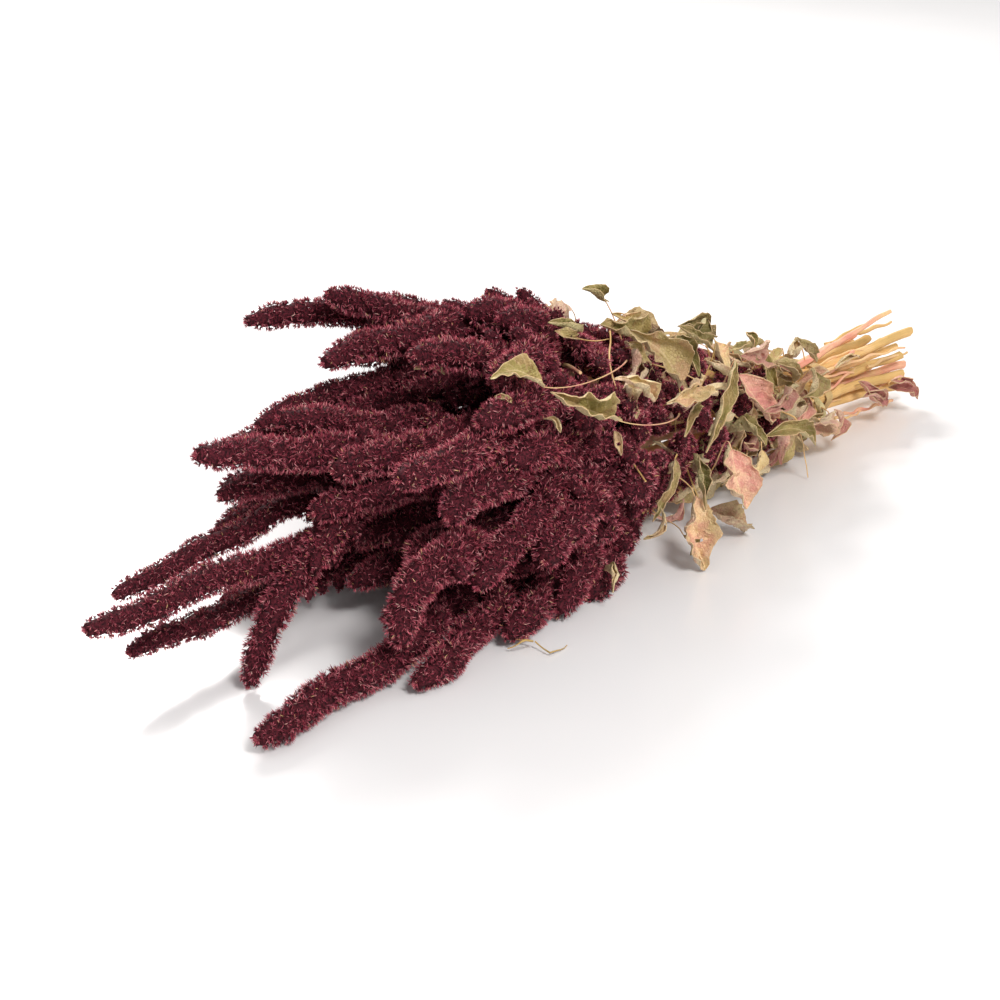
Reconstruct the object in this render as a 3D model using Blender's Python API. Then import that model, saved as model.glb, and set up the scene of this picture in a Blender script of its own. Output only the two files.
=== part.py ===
"""Bunch of dried red amaranth: leafy stems held by a tie, each ending in a head of long furry spikes.

The bunch lies on its side. +X runs towards the cut ends of the stems, +Z is up, metres.
The origin is under the middle of the bunch, on the surface that it lies on.
Each stem with its leaves is one solid, each head of spikes is another, and the tie goes round the stems.
"""

import math
import random
from dataclasses import dataclass, replace

import bmesh
import bpy
import numpy as np
from mathutils import Matrix

# Driving sizes
MM = 0.001
STEM_RADIUS = 3.6 * MM
SPIKE_RADIUS = 8.4 * MM
PETIOLE_RADIUS = 0.8 * MM
NODE_STEP = 8 * MM
CUT_X, TIE_X, SHOULDER_X = 392 * MM, 300 * MM, 60 * MM
TIE_CENTRE = np.array([16, 27]) * MM
CUT_CENTRE = np.array([10, 27.5]) * MM
CUT_SPLAY = np.array([1.75, 1.5])
SHOULDER_CENTRE = np.array([34, 66]) * MM
STEM_PITCH = 7.75 * MM
HEAD_GAP = 1.0 * MM
OPENING = 1.3
PRESSED = 0.75

# How the stems gather at the tie, and how the spikes are drawn and settle against each other
GATHER_TURNS, PULLED_TURNS = 500, 400
GATHER_START, GATHER_PULL = 0.22, 0.99
LINE_POINTS = 60
LINE_PULL = 0.8
NOD_START = 0.7
SPIKE_PROFILE = [0, 0.12, 0.5, 0.85, 0.96, 1], [0.85, 1, 1, 0.86, 0.7, 0.42]
SETTLE_ROUNDS, FREE_ROUNDS = 160, 25
HOME_PULL, BEND_HOLD = 0.01, 0.35

# Each head: place (y, z) of its stem at the shoulder, the x where it begins, then its spikes.
# A spike: share of the main spike where it branches, tip (x, y, z), arch, nod of the tip, girth. Millimetres.
HEADS = {
    "front_low": ((-20, 16), 92, [
        (0, (-214, -40, 8), 0, 0, 1.05),
        (0.30, (-125, -56, 6), 0, 0, 1.0),
        (0.36, (-132, -49, 28), 26, 12, 1.15),
        (0.16, (-58, -52, 8), 0, 0, 1.05),
        (0.10, (-22, -50, 8), 0, 0, 1.05),
        (0.06, (8, -44, 8), 2, 0, 1.05),
        (0.05, (24, -44, 34), 2, 0, 1.1),
    ]),
    "mid_low": ((16, 14), 100, [
        (0, (-90, -4, 12), 4, 0, 1.0),
        (0.30, (-100, -32, 38), 12, 6, 1.2),
        (0.30, (-84, 26, 22), 2, 0, 0.95),
        (0.10, (-20, -40, 26), 4, 0, 1.1),
    ]),
    "back_low": ((56, 14), 112, [
        (0, (-207, 48, 21), 2, 0, 0.85),
        (0.25, (-110, 88, 3), 0, 0, 0.95),
        (0.05, (-40, 112, 2), 0, 0, 1.0),
        (0.10, (0, 74, 2), 0, 0, 1.0),
    ]),
    "near": ((-32, 50), 86, [
        (0, (-92, -44, 77), 10, 4, 1.15),
        (0.15, (-42, -62, 44), 4, 0, 1.15),
        (0.10, (-46, -40, 92), 6, 0, 1.05),
        (0.30, (-80, -52, 40), 4, 2, 1.0),
        (0.04, (28, -54, 56), 2, 0, 1.1),
    ]),
    "middle": ((6, 50), 105, [
        (0, (-247, 28, 51), 2, 2, 0.95),
        (0.40, (-170, 10, 4), 22, 14, 0.95),
        (0.30, (-128, 6, 76), 6, 0, 1.0),
    ]),
    "inner": ((42, 50), 100, [
        (0, (-197, 66, 40), 12, 2, 0.8),
        (0.32, (-154, 40, 84), 4, 2, 0.95),
        (0.22, (-90, 92, 50), 4, 0, 0.9),
    ]),
    "far_low": ((82, 50), 118, [
        (0, (-88, 112, 30), 4, 0, 0.95),
        (0.20, (-60, 136, 20), 2, 0, 1.0),
        (0.15, (-70, 118, 66), 4, 2, 0.95),
        (0.08, (20, 124, 40), 2, 0, 1.0),
    ]),
    "near_up": ((-20, 84), 88, [
        (0, (-122, -46, 103), 6, 0, 1.05),
        (0.20, (-62, -36, 108), 4, 0, 1.05),
        (0.06, (4, -46, 98), 4, 0, 1.05),
    ]),
    "leader": ((18, 84), 108, [
        (0, (-187, 18, 120), -12, 0, 1.0),
        (0.35, (-121, 32, 117), -4, 0, 0.88),
        (0.30, (-118, 0, 96), 0, 0, 1.0),
    ]),
    "far_mid": ((54, 86), 105, [
        (0, (-112, 56, 104), 2, 8, 0.8),
        (0.20, (-118, 82, 84), 2, 0, 0.95),
        (0.30, (-104, 46, 90), 4, 0, 0.95),
    ]),
    "far": ((90, 84), 124, [
        (0, (-62, 128, 60), 4, 2, 0.95),
        (0.20, (-14, 148, 56), 2, 0, 1.0),
        (0.10, (24, 128, 98), 2, 0, 1.0),
    ]),
    "top_near": ((8, 112), 84, [
        (0, (-64, -2, 140), -2, 0, 0.95),
        (0.20, (-34, -28, 122), 4, 0, 1.05),
        (0.06, (12, 10, 138), 0, 0, 1.05),
    ]),
    "top": ((42, 114), 96, [
        (0, (-86, 38, 132), 8, 2, 0.95),
        (0.06, (8, 30, 138), 0, 0, 1.0),
        (0.30, (-44, 60, 122), 0, 0, 0.9),
    ]),
    "top_far": ((74, 106), 116, [
        (0, (-76, 97, 139), 4, 8, 0.88),
        (0.34, (-50, 68, 154), 0, -3, 0.8),
        (0.08, (6, 96, 130), 0, 0, 0.95),
    ]),
}
NAMES = list(HEADS)

# Leaves placed by hand: base and tip of the blade, way its upper face looks, width, fold in degrees,
# arch along the blade, and tone from green (0) through tan (0.5) to pink (1). Millimetres.
LEAVES = {
    "broad_top": ((101, -36, 88), (87, -14, 118), (-0.6, -1, 0.7), 24, 24, 4, 0.42),
    "ribbon": ((164, -27, 86), (121, -40, 48), (-0.3, -1, 0.3), 10, 40, 4, 0.15),
    "pink_upper": ((177, -21, 73), (202, -29, 43), (-0.2, -1, 0.5), 22, 14, 5, 0.85),
    "olive_tip": ((148, -5, 94), (165, -7, 105), (-0.6, -1, 0.3), 14, 30, 2, 0.05),
    "olive_side": ((140, -8, 101), (128, -29, 86), (-0.6, -0.6, 1), 12, 34, 4, 0.1),
    "olive_low": ((167, -23, 43), (155, -55, 46), (-0.4, -1, 0.6), 13, 34, 4, 0.1),
    "olive_flat": ((186, -22, 39), (224, -30, 25), (-0.2, -1, 0.6), 13, 30, 5, 0.15),
    "blotched": ((120, -51, 54), (116, -64, 25), (-0.3, -1, 0.2), 24, 10, 3, 0.75),
    "hanging": ((91, -55, 36), (83, -68, 0), (-0.5, -1, 0.1), 22, 20, 4, 0.6),
    "shaded": ((172, -41, 36), (157, -43, 24), (-0.3, -1, 0.2), 9, 24, 3, 0.5),
    "brown_low": ((116, -46, 18), (142, -52, 0), (-0.2, -0.6, 1), 16, 20, 3, 0.6),
    "wisp": ((85, -46, 56), (60, -51, 30), (-0.7, -1, 0.2), 8, 40, 3, 0.35),
    "wisp_high": ((120, -36, 74), (90, -48, 67), (-0.5, -1, 0.4), 7, 36, 3, 0.3),
    "on_spikes": ((-16, -35, 117), (-48, -29, 128), (-0.4, -0.7, 1), 14, 12, 2, 0.25),
    "crisp": ((16, -58, 99), (-21, -49, 120), (-0.3, -1, 0.5), 18, 40, 4, 0.2),
    "cream_right": ((111, -42, 88), (72, -49, 90), (-0.3, -1, 0.6), 17, 36, 5, 0.52),
    "slim_top": ((142, -21, 98), (111, -21, 111), (-0.5, -1, 0.6), 10, 30, 2, 0.2),
    "top_green": ((106, 19, 125), (88, 18, 134), (-0.5, -1, 1), 11, 30, 2, 0.05),
    "top_yellow": ((122, 8, 110), (100, 8, 120), (-0.5, -1, 0.8), 11, 30, 2, 0.35),
    "top_olive": ((118, -2, 106), (80, 0, 120), (-0.4, -1, 0.8), 16, 26, 3, 0.2),
    "high_curl": ((42, -14, 125), (29, -11, 131), (-0.4, -1, 0.8), 9, 40, 2, 0.35),
    "rosy": ((212, -12, 68), (182, -18, 82), (-0.4, -1, 0.4), 20, 20, 3, 0.8),
    "spear": ((212, -6, 75), (215, 1, 84), (-0.6, -1, 0), 7, 40, 2, 0.1),
    "small_green": ((233, -10, 50), (226, -3, 74), (-0.6, -1, 0), 9, 30, 2, 0.1),
    "back_olive": ((184, 4, 84), (162, 10, 98), (-0.4, -0.6, 1), 14, 30, 3, 0.15),
    "cream_small": ((243, -13, 52), (221, -14, 68), (-0.3, -1, 0.5), 12, 36, 3, 0.45),
    "cream_drop": ((252, -12, 52), (232, -18, 41), (-0.3, -1, 0.4), 12, 30, 3, 0.3),
    "tan_small": ((264, -6, 54), (246, -4, 68), (-0.4, -1, 0.4), 11, 30, 2, 0.4),
    "foot_tan": ((255, -16, 35), (237, -20, 28), (-0.3, -1, 0.4), 9, 24, 3, 0.85),
    "pink_foot": ((322, -8, 30), (344, -16, 14), (-0.2, -1, 0.5), 12, 30, 2, 0.9),
    "pink_foot_far": ((352, -8, 20), (370, -18, 10), (-0.2, -1, 0.5), 11, 30, 2, 0.9),
    "dusky_back": ((202, -24, 58), (174, -29, 52), (-0.4, -1, 0.5), 13, 30, 3, 0.85),
    "under_curl": ((92, -48, 12), (90, -54, 3), (-0.3, -1, 0.2), 9, 30, 2, 0.25),
}

# Leaves round the rest of the bunch, placed by rule: how many, and the arc that they fill from +Y over the top
RULE_LEAVES = 12
RULE_ARC = (-50, 130)
RULE_REACH = (110 * MM, 262 * MM)
BLADE_GAP = 1.5 * MM
LEAF_SPACING = 4.8 * MM
SAMPLE_STEP = 3.2 * MM
STALK_POINTS = 41
STALK_STATIONS = [0, 0.55, 1]
LONG_STALK_STATIONS = [0, 0.25, 0.5, 0.75, 1]
LONG_STALK = 45 * MM

# Facets and finish
SPIKE_SIDES = 6
RING_STEP = 13 * MM
HOLLOW = 0.68
FORWARD = 0.3
STEM_SIDES = 6
STEM_RING_STEP = 28 * MM
BLADE_THICKNESS = 0.7 * MM
BLADE_STATIONS = [0.03, 0.2, 0.42, 0.64, 0.84, 0.985]
SMALL_BLADE_STATIONS = [0.03, 0.25, 0.5, 0.76, 0.98]
SMALL_BLADE = 30 * MM
FACE_GAP = 0.3 * MM
TIE_HALF_WIDTH = 4 * MM
TIE_THICKNESS = 1.8 * MM
TIE_CLEARANCE = 0.6 * MM
TIE_SIDES = 28
FINISHES = {
    "burgundy": ((0.100, 0.022, 0.030, 1), 0.95),
    "dry_green": ((0.400, 0.350, 0.180, 1), 0.85),
    "raffia": ((0.560, 0.420, 0.240, 1), 0.80),
}


# Curves

def unit(vector):
    return vector / np.linalg.norm(vector)


def along(points, share):
    """Point and direction at a share of the length of a line of evenly spaced points."""
    place = share * (len(points) - 1)
    low = min(int(place), len(points) - 2)
    step = points[low + 1] - points[low]
    return points[low] + step * (place - low), unit(step)


def hermite(start, start_pull, end, end_pull, count):
    """Smooth curve between two points, leaving and arriving along the two pulls."""
    s = np.linspace(0, 1, count)[:, None]
    return (
        (2 * s**3 - 3 * s**2 + 1) * start
        + (s**3 - 2 * s**2 + s) * start_pull
        + (3 * s**2 - 2 * s**3) * end
        + (s**3 - s**2) * end_pull
    )


def even(points, step):
    """The same line with points about a step apart."""
    reach = np.concatenate([[0], np.cumsum(np.linalg.norm(np.diff(points, axis=0), axis=1))])
    count = max(4, round(reach[-1] / step) + 1)
    stations = np.linspace(0, reach[-1], count)
    return np.stack([np.interp(stations, reach, points[:, axis]) for axis in range(3)], axis=1)


# Stems

def tie_slots():
    """Places of the stems round the tie's centre: the heads' arrangement, drawn tight."""
    places = MM * np.array([HEADS[name][0] for name in NAMES], float)
    slots = (places - places.mean(axis=0)) * GATHER_START
    for turn in range(GATHER_TURNS):
        if turn < PULLED_TURNS:
            slots = slots * GATHER_PULL
        apart = slots[:, None] - slots[None]
        distance = np.linalg.norm(apart, axis=2) + np.eye(len(slots))
        short = np.clip(STEM_PITCH - distance, 0, None) / distance
        slots = slots + 0.5 * (short[..., None] * apart).sum(axis=1)
    return slots


def shoulder_share(x):
    """How far the bunch has opened between the tie (0) and the shoulder (1)."""
    return (np.clip(TIE_X - x, 0, None) / (TIE_X - SHOULDER_X)) ** OPENING


def stem_point(head, x, slots):
    """Centre of a stem at one x: splayed at the cut end, drawn in at the tie, opening to its head."""
    slot = slots[NAMES.index(head)]
    tie = TIE_CENTRE + slot
    if x <= TIE_X:
        share = shoulder_share(x)
        other = MM * np.array(HEADS[head][0], float)
    else:
        share = ((x - TIE_X) / (CUT_X - TIE_X)) ** OPENING
        other = CUT_CENTRE + slot * CUT_SPLAY
    y, z = tie + (other - tie) * share
    return np.array([x, y, z])


def stem_line(head, slots):
    """Centre line of a stem, from its cut end to the foot of its head."""
    draw = random.Random(f"stem {head}")
    first = CUT_X + draw.uniform(-26, 4) * MM
    last = HEADS[head][1] * MM
    stations = np.linspace(first, last, max(4, round((first - last) / NODE_STEP) + 1))
    return np.array([stem_point(head, x, slots) for x in stations])


# Heads of spikes

def spike_line(start, ahead, tip, arch, nod):
    """Centre line of a spike: it leaves along its parent, arches, and its last part may nod down."""
    span = np.linalg.norm(tip - start)
    pull = span * LINE_PULL
    line = hermite(start, ahead * pull, tip, unit(tip - start) * pull, LINE_POINTS)
    s = np.linspace(0, 1, len(line))
    droop = np.clip((s - NOD_START) / (1 - NOD_START), 0, 1) ** 2
    line[:, 2] += arch * np.sin(math.pi * s) + nod * (1 - droop) * s
    return even(line, NODE_STEP)


def spike_radii(count, radius):
    """Outer radii along a spike: full at its foot, slimmer to a blunt tip."""
    s = np.linspace(0, 1, count)
    return radius * np.interp(s, *SPIKE_PROFILE)


def head_spikes(head, slots):
    """Spikes of one head before they settle."""
    _, first, spikes = HEADS[head]
    foot = stem_point(head, first * MM, slots)
    ahead = unit(stem_point(head, (first - 10) * MM, slots) - foot)
    made = []
    for share, tip, arch, nod, girth in spikes:
        start, way = along(made[0][0], share) if made else (foot + ahead * FACE_GAP, ahead)
        line = spike_line(start, way, MM * np.array(tip, float), arch * MM, nod * MM)
        seat = round(share * (len(made[0][0]) - 1)) if made else -1
        made.append((line, spike_radii(len(line), SPIKE_RADIUS * girth), seat))
    return made


class Crowd:
    """The points of every spike in one set of arrays, pushed apart until no two heads touch."""

    def __init__(self, spikes, stems):
        self.point = np.concatenate([line for _, line, _, _ in spikes])
        self.radius = np.concatenate([radii for _, _, radii, _ in spikes])
        sizes = [len(line) for _, line, _, _ in spikes]
        self.find_seats([seat for *_, seat in spikes], sizes)
        self.head = np.repeat([NAMES.index(spike[0]) for spike in spikes], sizes)
        self.chain = np.repeat(np.arange(len(spikes)), sizes)
        self.order = np.concatenate([np.arange(size) for size in sizes])
        self.free = np.ones(len(self.point))
        self.free[self.main] = 0
        self.free[self.main + 1] = 0
        self.stem = np.concatenate(list(stems.values()))
        self.stem_head = np.repeat(np.arange(len(NAMES)), [len(stems[name]) for name in NAMES])
        self.rest = self.point.copy()
        same = self.chain[:-1] == self.chain[1:]
        self.link = np.nonzero(same)[0]
        self.link_length = np.linalg.norm(self.point[self.link + 1] - self.point[self.link], axis=1)
        self.inside = np.nonzero(same[:-1] & same[1:])[0] + 1
        self.curve = self.bow()

    def find_seats(self, seats, sizes):
        """First points of the main spikes, and of the side spikes with the point each one grows from."""
        starts = np.cumsum([0, *sizes[:-1]])
        side = [number for number, seat in enumerate(seats) if seat >= 0]
        self.main = np.array([starts[number] for number, seat in enumerate(seats) if seat < 0])
        self.side = starts[side]
        parent = np.array([self.main[self.main < start].max() for start in self.side])
        self.seat = parent + np.array(seats)[side]

    def bow(self):
        """How far each inner point stands off the middle of its neighbours."""
        return self.point[self.inside] - (self.point[self.inside - 1] + self.point[self.inside + 1]) / 2

    def find_pairs(self):
        """Spike points near another spike's, and near a stem of another head."""
        distance = np.linalg.norm(self.point[:, None] - self.point[None], axis=2)
        a, b = np.nonzero(np.triu(distance < 4 * SPIKE_RADIUS, 1))
        same_head = self.head[a] == self.head[b]
        neighbours = (self.chain[a] == self.chain[b]) & (b - a < 4)
        joined = same_head & ((self.order[a] < 4) | (self.order[b] < 4))
        keep = ~(neighbours | joined)
        self.pair = a[keep], b[keep]
        self.pair_same = same_head[keep]
        distance = np.linalg.norm(self.point[:, None] - self.stem[None], axis=2)
        near = (distance < 3 * SPIKE_RADIUS) & (self.head[:, None] != self.stem_head[None])
        self.stem_pair = np.nonzero(near)

    def hold_shape(self):
        """Draws each spike back to its length, its curve and, weakly, its first place."""
        self.point += HOME_PULL * (self.rest - self.point) * self.free[:, None]
        link = self.link
        for _ in range(2):
            step = self.point[link + 1] - self.point[link]
            length = np.linalg.norm(step, axis=1)
            pull = 0.5 * step * (1 - self.link_length / length)[:, None]
            np.add.at(self.point, link, pull * self.free[link][:, None])
            np.add.at(self.point, link + 1, -pull * self.free[link + 1][:, None])
        bent = self.bow() - self.curve
        self.point[self.inside] -= BEND_HOLD * bent * self.free[self.inside][:, None]

    def part(self, last):
        """Pushes touching points apart, off the stems and off the surface below."""
        a, b = self.pair
        away = self.point[b] - self.point[a]
        distance = np.linalg.norm(away, axis=1) + 1e-9
        reach = self.radius[a] + self.radius[b]
        need = np.where(self.pair_same, 0.0 if last else reach, reach + HEAD_GAP)
        short = np.clip(need - distance, 0, None)
        self.push([(a, -1), (b, 1)], away / distance[:, None] * 0.5, short)
        a, s = self.stem_pair
        away = self.point[a] - self.stem[s]
        distance = np.linalg.norm(away, axis=1) + 1e-9
        short = np.clip(self.radius[a] + STEM_RADIUS + HEAD_GAP - distance, 0, None)
        self.push([(a, 1)], away / distance[:, None], short)
        lowest = PRESSED * self.radius
        low = (self.point[:, 2] < lowest) & (self.free > 0)
        self.point[low, 2] = lowest[low]

    def push(self, ends, way, short):
        total = np.zeros_like(self.point)
        hits = np.zeros(len(self.point))
        for points, sign in ends:
            np.add.at(total, points, sign * way * short[:, None])
            np.add.at(hits, points, short > 0)
        self.point += total / np.maximum(0.6 * hits, 1)[:, None] * self.free[:, None]

    def squeeze(self):
        """Slims what still touches another head or another head's stem."""
        gap = 0.6 * HEAD_GAP
        distance = np.linalg.norm(self.point[:, None] - self.point[None], axis=2)
        reach = self.radius[:, None] + self.radius[None]
        apart = self.head[:, None] != self.head[None]
        share = np.where(apart, (distance - gap) / reach, 1).min(axis=1)
        distance = np.linalg.norm(self.point[:, None] - self.stem[None], axis=2)
        apart = self.head[:, None] != self.stem_head[None]
        room = (distance - STEM_RADIUS - gap) / self.radius[:, None]
        share = np.minimum(share, np.where(apart, room, 1).min(axis=1))
        self.radius *= np.clip(share, 0.3, 1)

    def settle(self):
        for turn in range(SETTLE_ROUNDS):
            last = turn >= SETTLE_ROUNDS - FREE_ROUNDS
            if turn % 10 == 0:
                self.find_pairs()
            if not last:
                self.hold_shape()
            self.part(last)
            self.part(last)
            self.point[self.side] = self.point[self.seat]
        self.squeeze()


# Leaves

@dataclass(frozen=True)
class Leaf:
    """A blade from base to tip, on a stalk from its root on a stem."""
    name: str
    base: np.ndarray
    tip: np.ndarray
    face: np.ndarray
    width: float
    fold: float
    arch: float
    tone: float
    stem: str = ""
    root: np.ndarray = None
    lift: np.ndarray = None

    def frame(self):
        ahead = unit(self.tip - self.base)
        up = unit(self.face - ahead * (self.face @ ahead))
        return ahead, np.cross(up, ahead), up


def blade_half_width(s):
    """Share of the half width along a blade: a short stalk end, widest below the middle, a drawn-out tip."""
    return 0.06 + 0.94 * s**0.75 * (1 - s) ** 0.95 / 0.313


def blade_points(leaf, s, t):
    """Points of the blade's middle surface, s from base to tip and t from edge (-1) to edge (1)."""
    draw = random.Random(f"blade {leaf.name}")
    twist = draw.uniform(-0.5, 0.5)
    bend = draw.uniform(-0.08, 0.08)
    curl = draw.uniform(-0.25, 0.45)
    phase = draw.uniform(0, 2 * math.pi)
    s = np.asarray(s, float)[..., None]
    t = np.asarray(t, float)[..., None]
    ahead, side, up = leaf.frame()
    turn = twist * (s - 0.5)
    side_here = side * np.cos(turn) + up * np.sin(turn)
    up_here = up * np.cos(turn) - side * np.sin(turn)
    length = np.linalg.norm(leaf.tip - leaf.base)
    half = 0.5 * leaf.width * blade_half_width(s)
    fold = math.radians(leaf.fold)
    wave = 0.28 * np.sin(7.5 * s + phase + 1.3 * np.sign(t)) * np.abs(t)
    middle = leaf.base + (leaf.tip - leaf.base) * s
    middle = middle + up * leaf.arch * 4 * s * (1 - s) + side * bend * length * np.sin(math.pi * s)
    rise = np.abs(t) * math.sin(fold) + curl * t**2 * s + wave
    points = middle + side_here * half * t * math.cos(fold) + up_here * half * rise
    points[..., 2] = np.maximum(points[..., 2], BLADE_THICKNESS)
    return points


def stalk_line(leaf, count):
    """Centre line of a leaf's stalk, from inside its stem to the base of the blade."""
    ahead, _, _ = leaf.frame()
    span = np.linalg.norm(leaf.base - leaf.root)
    lean = unit(leaf.lift + np.array([-0.6, 0, 0]))
    line = hermite(leaf.root, lean * span, leaf.base, ahead * span * 0.7, count)
    line[:, 2] = np.maximum(line[:, 2], PETIOLE_RADIUS)
    return line


def stalk_corners(leaf):
    """Points of the stalk's faceted form, from its root to the base of the blade."""
    line = stalk_line(leaf, STALK_POINTS)
    shares = LONG_STALK_STATIONS if np.linalg.norm(leaf.base - leaf.root) > LONG_STALK else STALK_STATIONS
    return line[[round(share * (STALK_POINTS - 1)) for share in shares]]


def leaf_samples(leaf):
    """Points over the blade, and along the stalk outside its stem, both smooth and faceted."""
    length = np.linalg.norm(leaf.tip - leaf.base)
    rows = max(7, round(length / SAMPLE_STEP))
    columns = max(5, round(leaf.width / SAMPLE_STEP) | 1)
    s, t = np.meshgrid(np.linspace(0, 1, rows), np.linspace(-1, 1, columns))
    blade = blade_points(leaf, s.ravel(), t.ravel())
    corners = stalk_corners(leaf)
    faceted = [start + (end - start) * share for start, end in zip(corners, corners[1:])
               for share in np.linspace(0, 1, 14)]
    stalk = np.concatenate([stalk_line(leaf, STALK_POINTS), faceted])
    outside = np.linalg.norm(stalk - leaf.root, axis=1) > STEM_RADIUS + 1 * MM
    return blade, stalk[outside]


def middle_of_bunch(x):
    """Middle (y, z) of the bunch at one x."""
    return TIE_CENTRE + (SHOULDER_CENTRE - TIE_CENTRE) * shoulder_share(x)


class Foliage:
    """Places leaves one by one, each clear of the spikes, the other stems and the leaves before it."""

    def __init__(self, stems, spikes):
        self.stems = stems
        self.solid = np.concatenate([line for _, line, _ in spikes])
        self.solid_radius = np.concatenate([radii for _, _, radii in spikes])
        self.stem = np.concatenate(list(stems.values()))
        self.stem_name = np.repeat(list(stems), [len(line) for line in stems.values()])
        self.leaf = np.zeros((0, 3))
        self.placed = []

    def clear(self, leaf):
        blade, stalk = leaf_samples(leaf)
        points = np.concatenate([blade, stalk])
        near = np.linalg.norm(self.solid - leaf.base, axis=1) < 120 * MM
        distance = np.linalg.norm(points[:, None] - self.solid[near][None], axis=2)
        if (distance < self.solid_radius[near] + BLADE_GAP + PETIOLE_RADIUS).any():
            return False
        distance = np.linalg.norm(blade[:, None] - self.stem[None], axis=2)
        if (distance < STEM_RADIUS + BLADE_GAP + PETIOLE_RADIUS).any():
            return False
        others = self.stem[self.stem_name != leaf.stem]
        distance = np.linalg.norm(stalk[:, None] - others[None], axis=2)
        if (distance < STEM_RADIUS + BLADE_GAP + PETIOLE_RADIUS).any():
            return False
        if abs(points[:, 0] - TIE_X).min() < TIE_HALF_WIDTH + 3 * MM:
            return False
        distance = np.linalg.norm(points[:, None] - self.leaf[None], axis=2)
        return not (distance < LEAF_SPACING).any()

    def tries(self, leaf):
        """The leaf on each likely stem, moved further and further out of the bunch."""
        away = np.concatenate([[0], leaf.base[1:] - middle_of_bunch(leaf.base[0])])
        away = unit(away)
        for lift in range(0, 34, 3):
            shift = away * lift * MM
            moved = replace(leaf, base=leaf.base + shift, tip=leaf.tip + shift, lift=away)
            for back in (12, 24, 40, 60, 90, 120):
                x = max(leaf.base[0], 70 * MM) + back * MM
                for name in self.outer_stems(moved, x):
                    line = self.stems[name]
                    if line[-1, 0] + 6 * MM < x < line[0, 0] - 4 * MM:
                        root = line[np.argmin(abs(line[:, 0] - x))]
                        yield replace(moved, stem=name, root=root)

    def outer_stems(self, leaf, x):
        """The three stems at x that are nearest to the leaf's base."""
        gaps = {}
        for name, line in self.stems.items():
            here = line[np.argmin(abs(line[:, 0] - x))]
            gaps[name] = np.linalg.norm(here[1:] - leaf.base[1:])
        return sorted(gaps, key=gaps.get)[:3]

    def place(self, leaf):
        for option in self.tries(leaf):
            if self.clear(option):
                self.placed.append(option)
                self.leaf = np.concatenate([self.leaf, *leaf_samples(option)])
                return


def hand_leaf(name):
    base, tip, face, width, fold, arch, tone = LEAVES[name]
    return Leaf(
        name, MM * np.array(base, float), MM * np.array(tip, float), np.array(face, float),
        width * MM, fold, arch * MM, tone)


def rule_leaf(number):
    """A leaf of the far side and the top, its place stepped round by the golden angle."""
    draw = random.Random(f"rule leaf {number}")
    share = (number + 0.5) / RULE_LEAVES
    x = RULE_REACH[0] + (RULE_REACH[1] - RULE_REACH[0]) * share
    low, high = RULE_ARC
    turn = math.radians(low + (high - low) * ((number * 0.618) % 1))
    away = np.array([0, math.cos(turn), math.sin(turn)])
    across = np.cross((1, 0, 0), away)
    radius = (18 + 30 * shoulder_share(x)) * MM
    base = np.array([x, *middle_of_bunch(x)]) + away * radius
    base[2] = max(base[2], 8 * MM)
    length = draw.uniform(32, 54) * MM
    way = unit(np.array([-1, 0, 0]) + away * draw.uniform(0, 0.3) + across * draw.uniform(-0.5, 0.5))
    return Leaf(
        f"rule_{number:02d}", base, base + way * length, away + np.array([-0.3, 0, 0.2]),
        draw.uniform(10, 17) * MM, draw.uniform(10, 40), draw.uniform(-4, 5) * MM, draw.uniform(0.05, 0.95))


def plan_bunch():
    """Stem lines by head, settled spikes as (head, line, radii), and the leaves."""
    slots = tie_slots()
    stems = {name: stem_line(name, slots) for name in NAMES}
    spikes = [(name, *spike) for name in NAMES for spike in head_spikes(name, slots)]
    crowd = Crowd(spikes, stems)
    crowd.settle()
    cuts = np.cumsum([len(line) for _, line, _, _ in spikes])[:-1]
    lines = np.split(crowd.point, cuts)
    widths = np.split(crowd.radius, cuts)
    spikes = [(spike[0], line, width) for spike, line, width in zip(spikes, lines, widths)]
    foliage = Foliage(stems, spikes)
    for name in LEAVES:
        foliage.place(hand_leaf(name))
    for number in range(RULE_LEAVES):
        foliage.place(rule_leaf(number))
    return stems, spikes, foliage.placed


def tie_outline():
    """Points (y, z) of the tie's inner face: drawn straight from stem to stem round the outside."""
    slots = tie_slots()
    reach = STEM_RADIUS + TIE_CLEARANCE
    outline = []
    for side in range(TIE_SIDES):
        turn = 2 * math.pi * side / TIE_SIDES
        way = np.array([math.cos(turn), math.sin(turn)])
        across = np.array([-way[1], way[0]])
        furthest = max((slot @ way, slot @ across) for slot in slots)
        outline.append(TIE_CENTRE + way * (furthest[0] + reach) + across * furthest[1])
    return np.array(outline)


# Solids

def tube_frames(line, first_step, last_step):
    """Directions along and across the line at each point, carried along it without twist."""
    ahead = np.gradient(line, axis=0)
    ahead[0] = first_step
    ahead[-1] = last_step
    ahead /= np.linalg.norm(ahead, axis=1)[:, None]
    side = unit(np.cross((0, 0, 1), ahead[0]))
    sides = []
    for way in ahead:
        side = unit(side - way * (side @ way))
        sides.append(side)
    sides = np.array(sides)
    return ahead, sides, np.cross(ahead, sides)


def closed_loft(rings, start, end):
    """Vertices and triangles of a closed body: rings of equal size and a middle point for each end."""
    size = len(rings[0])
    vertices = [point for ring in rings for point in ring] + [start, end]
    first, last = len(vertices) - 2, len(vertices) - 1
    faces = []
    for row in range(len(rings) - 1):
        for column in range(size):
            after = (column + 1) % size
            a, b = row * size + column, row * size + after
            c, d = b + size, a + size
            if (row + column) % 2:
                faces += [(a, b, d), (b, c, d)]
            else:
                faces += [(a, b, c), (a, c, d)]
    top = (len(rings) - 1) * size
    for column in range(size):
        after = (column + 1) % size
        faces.append((after, column, first))
        faces.append((top + column, top + after, last))
    return vertices, faces


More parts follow.
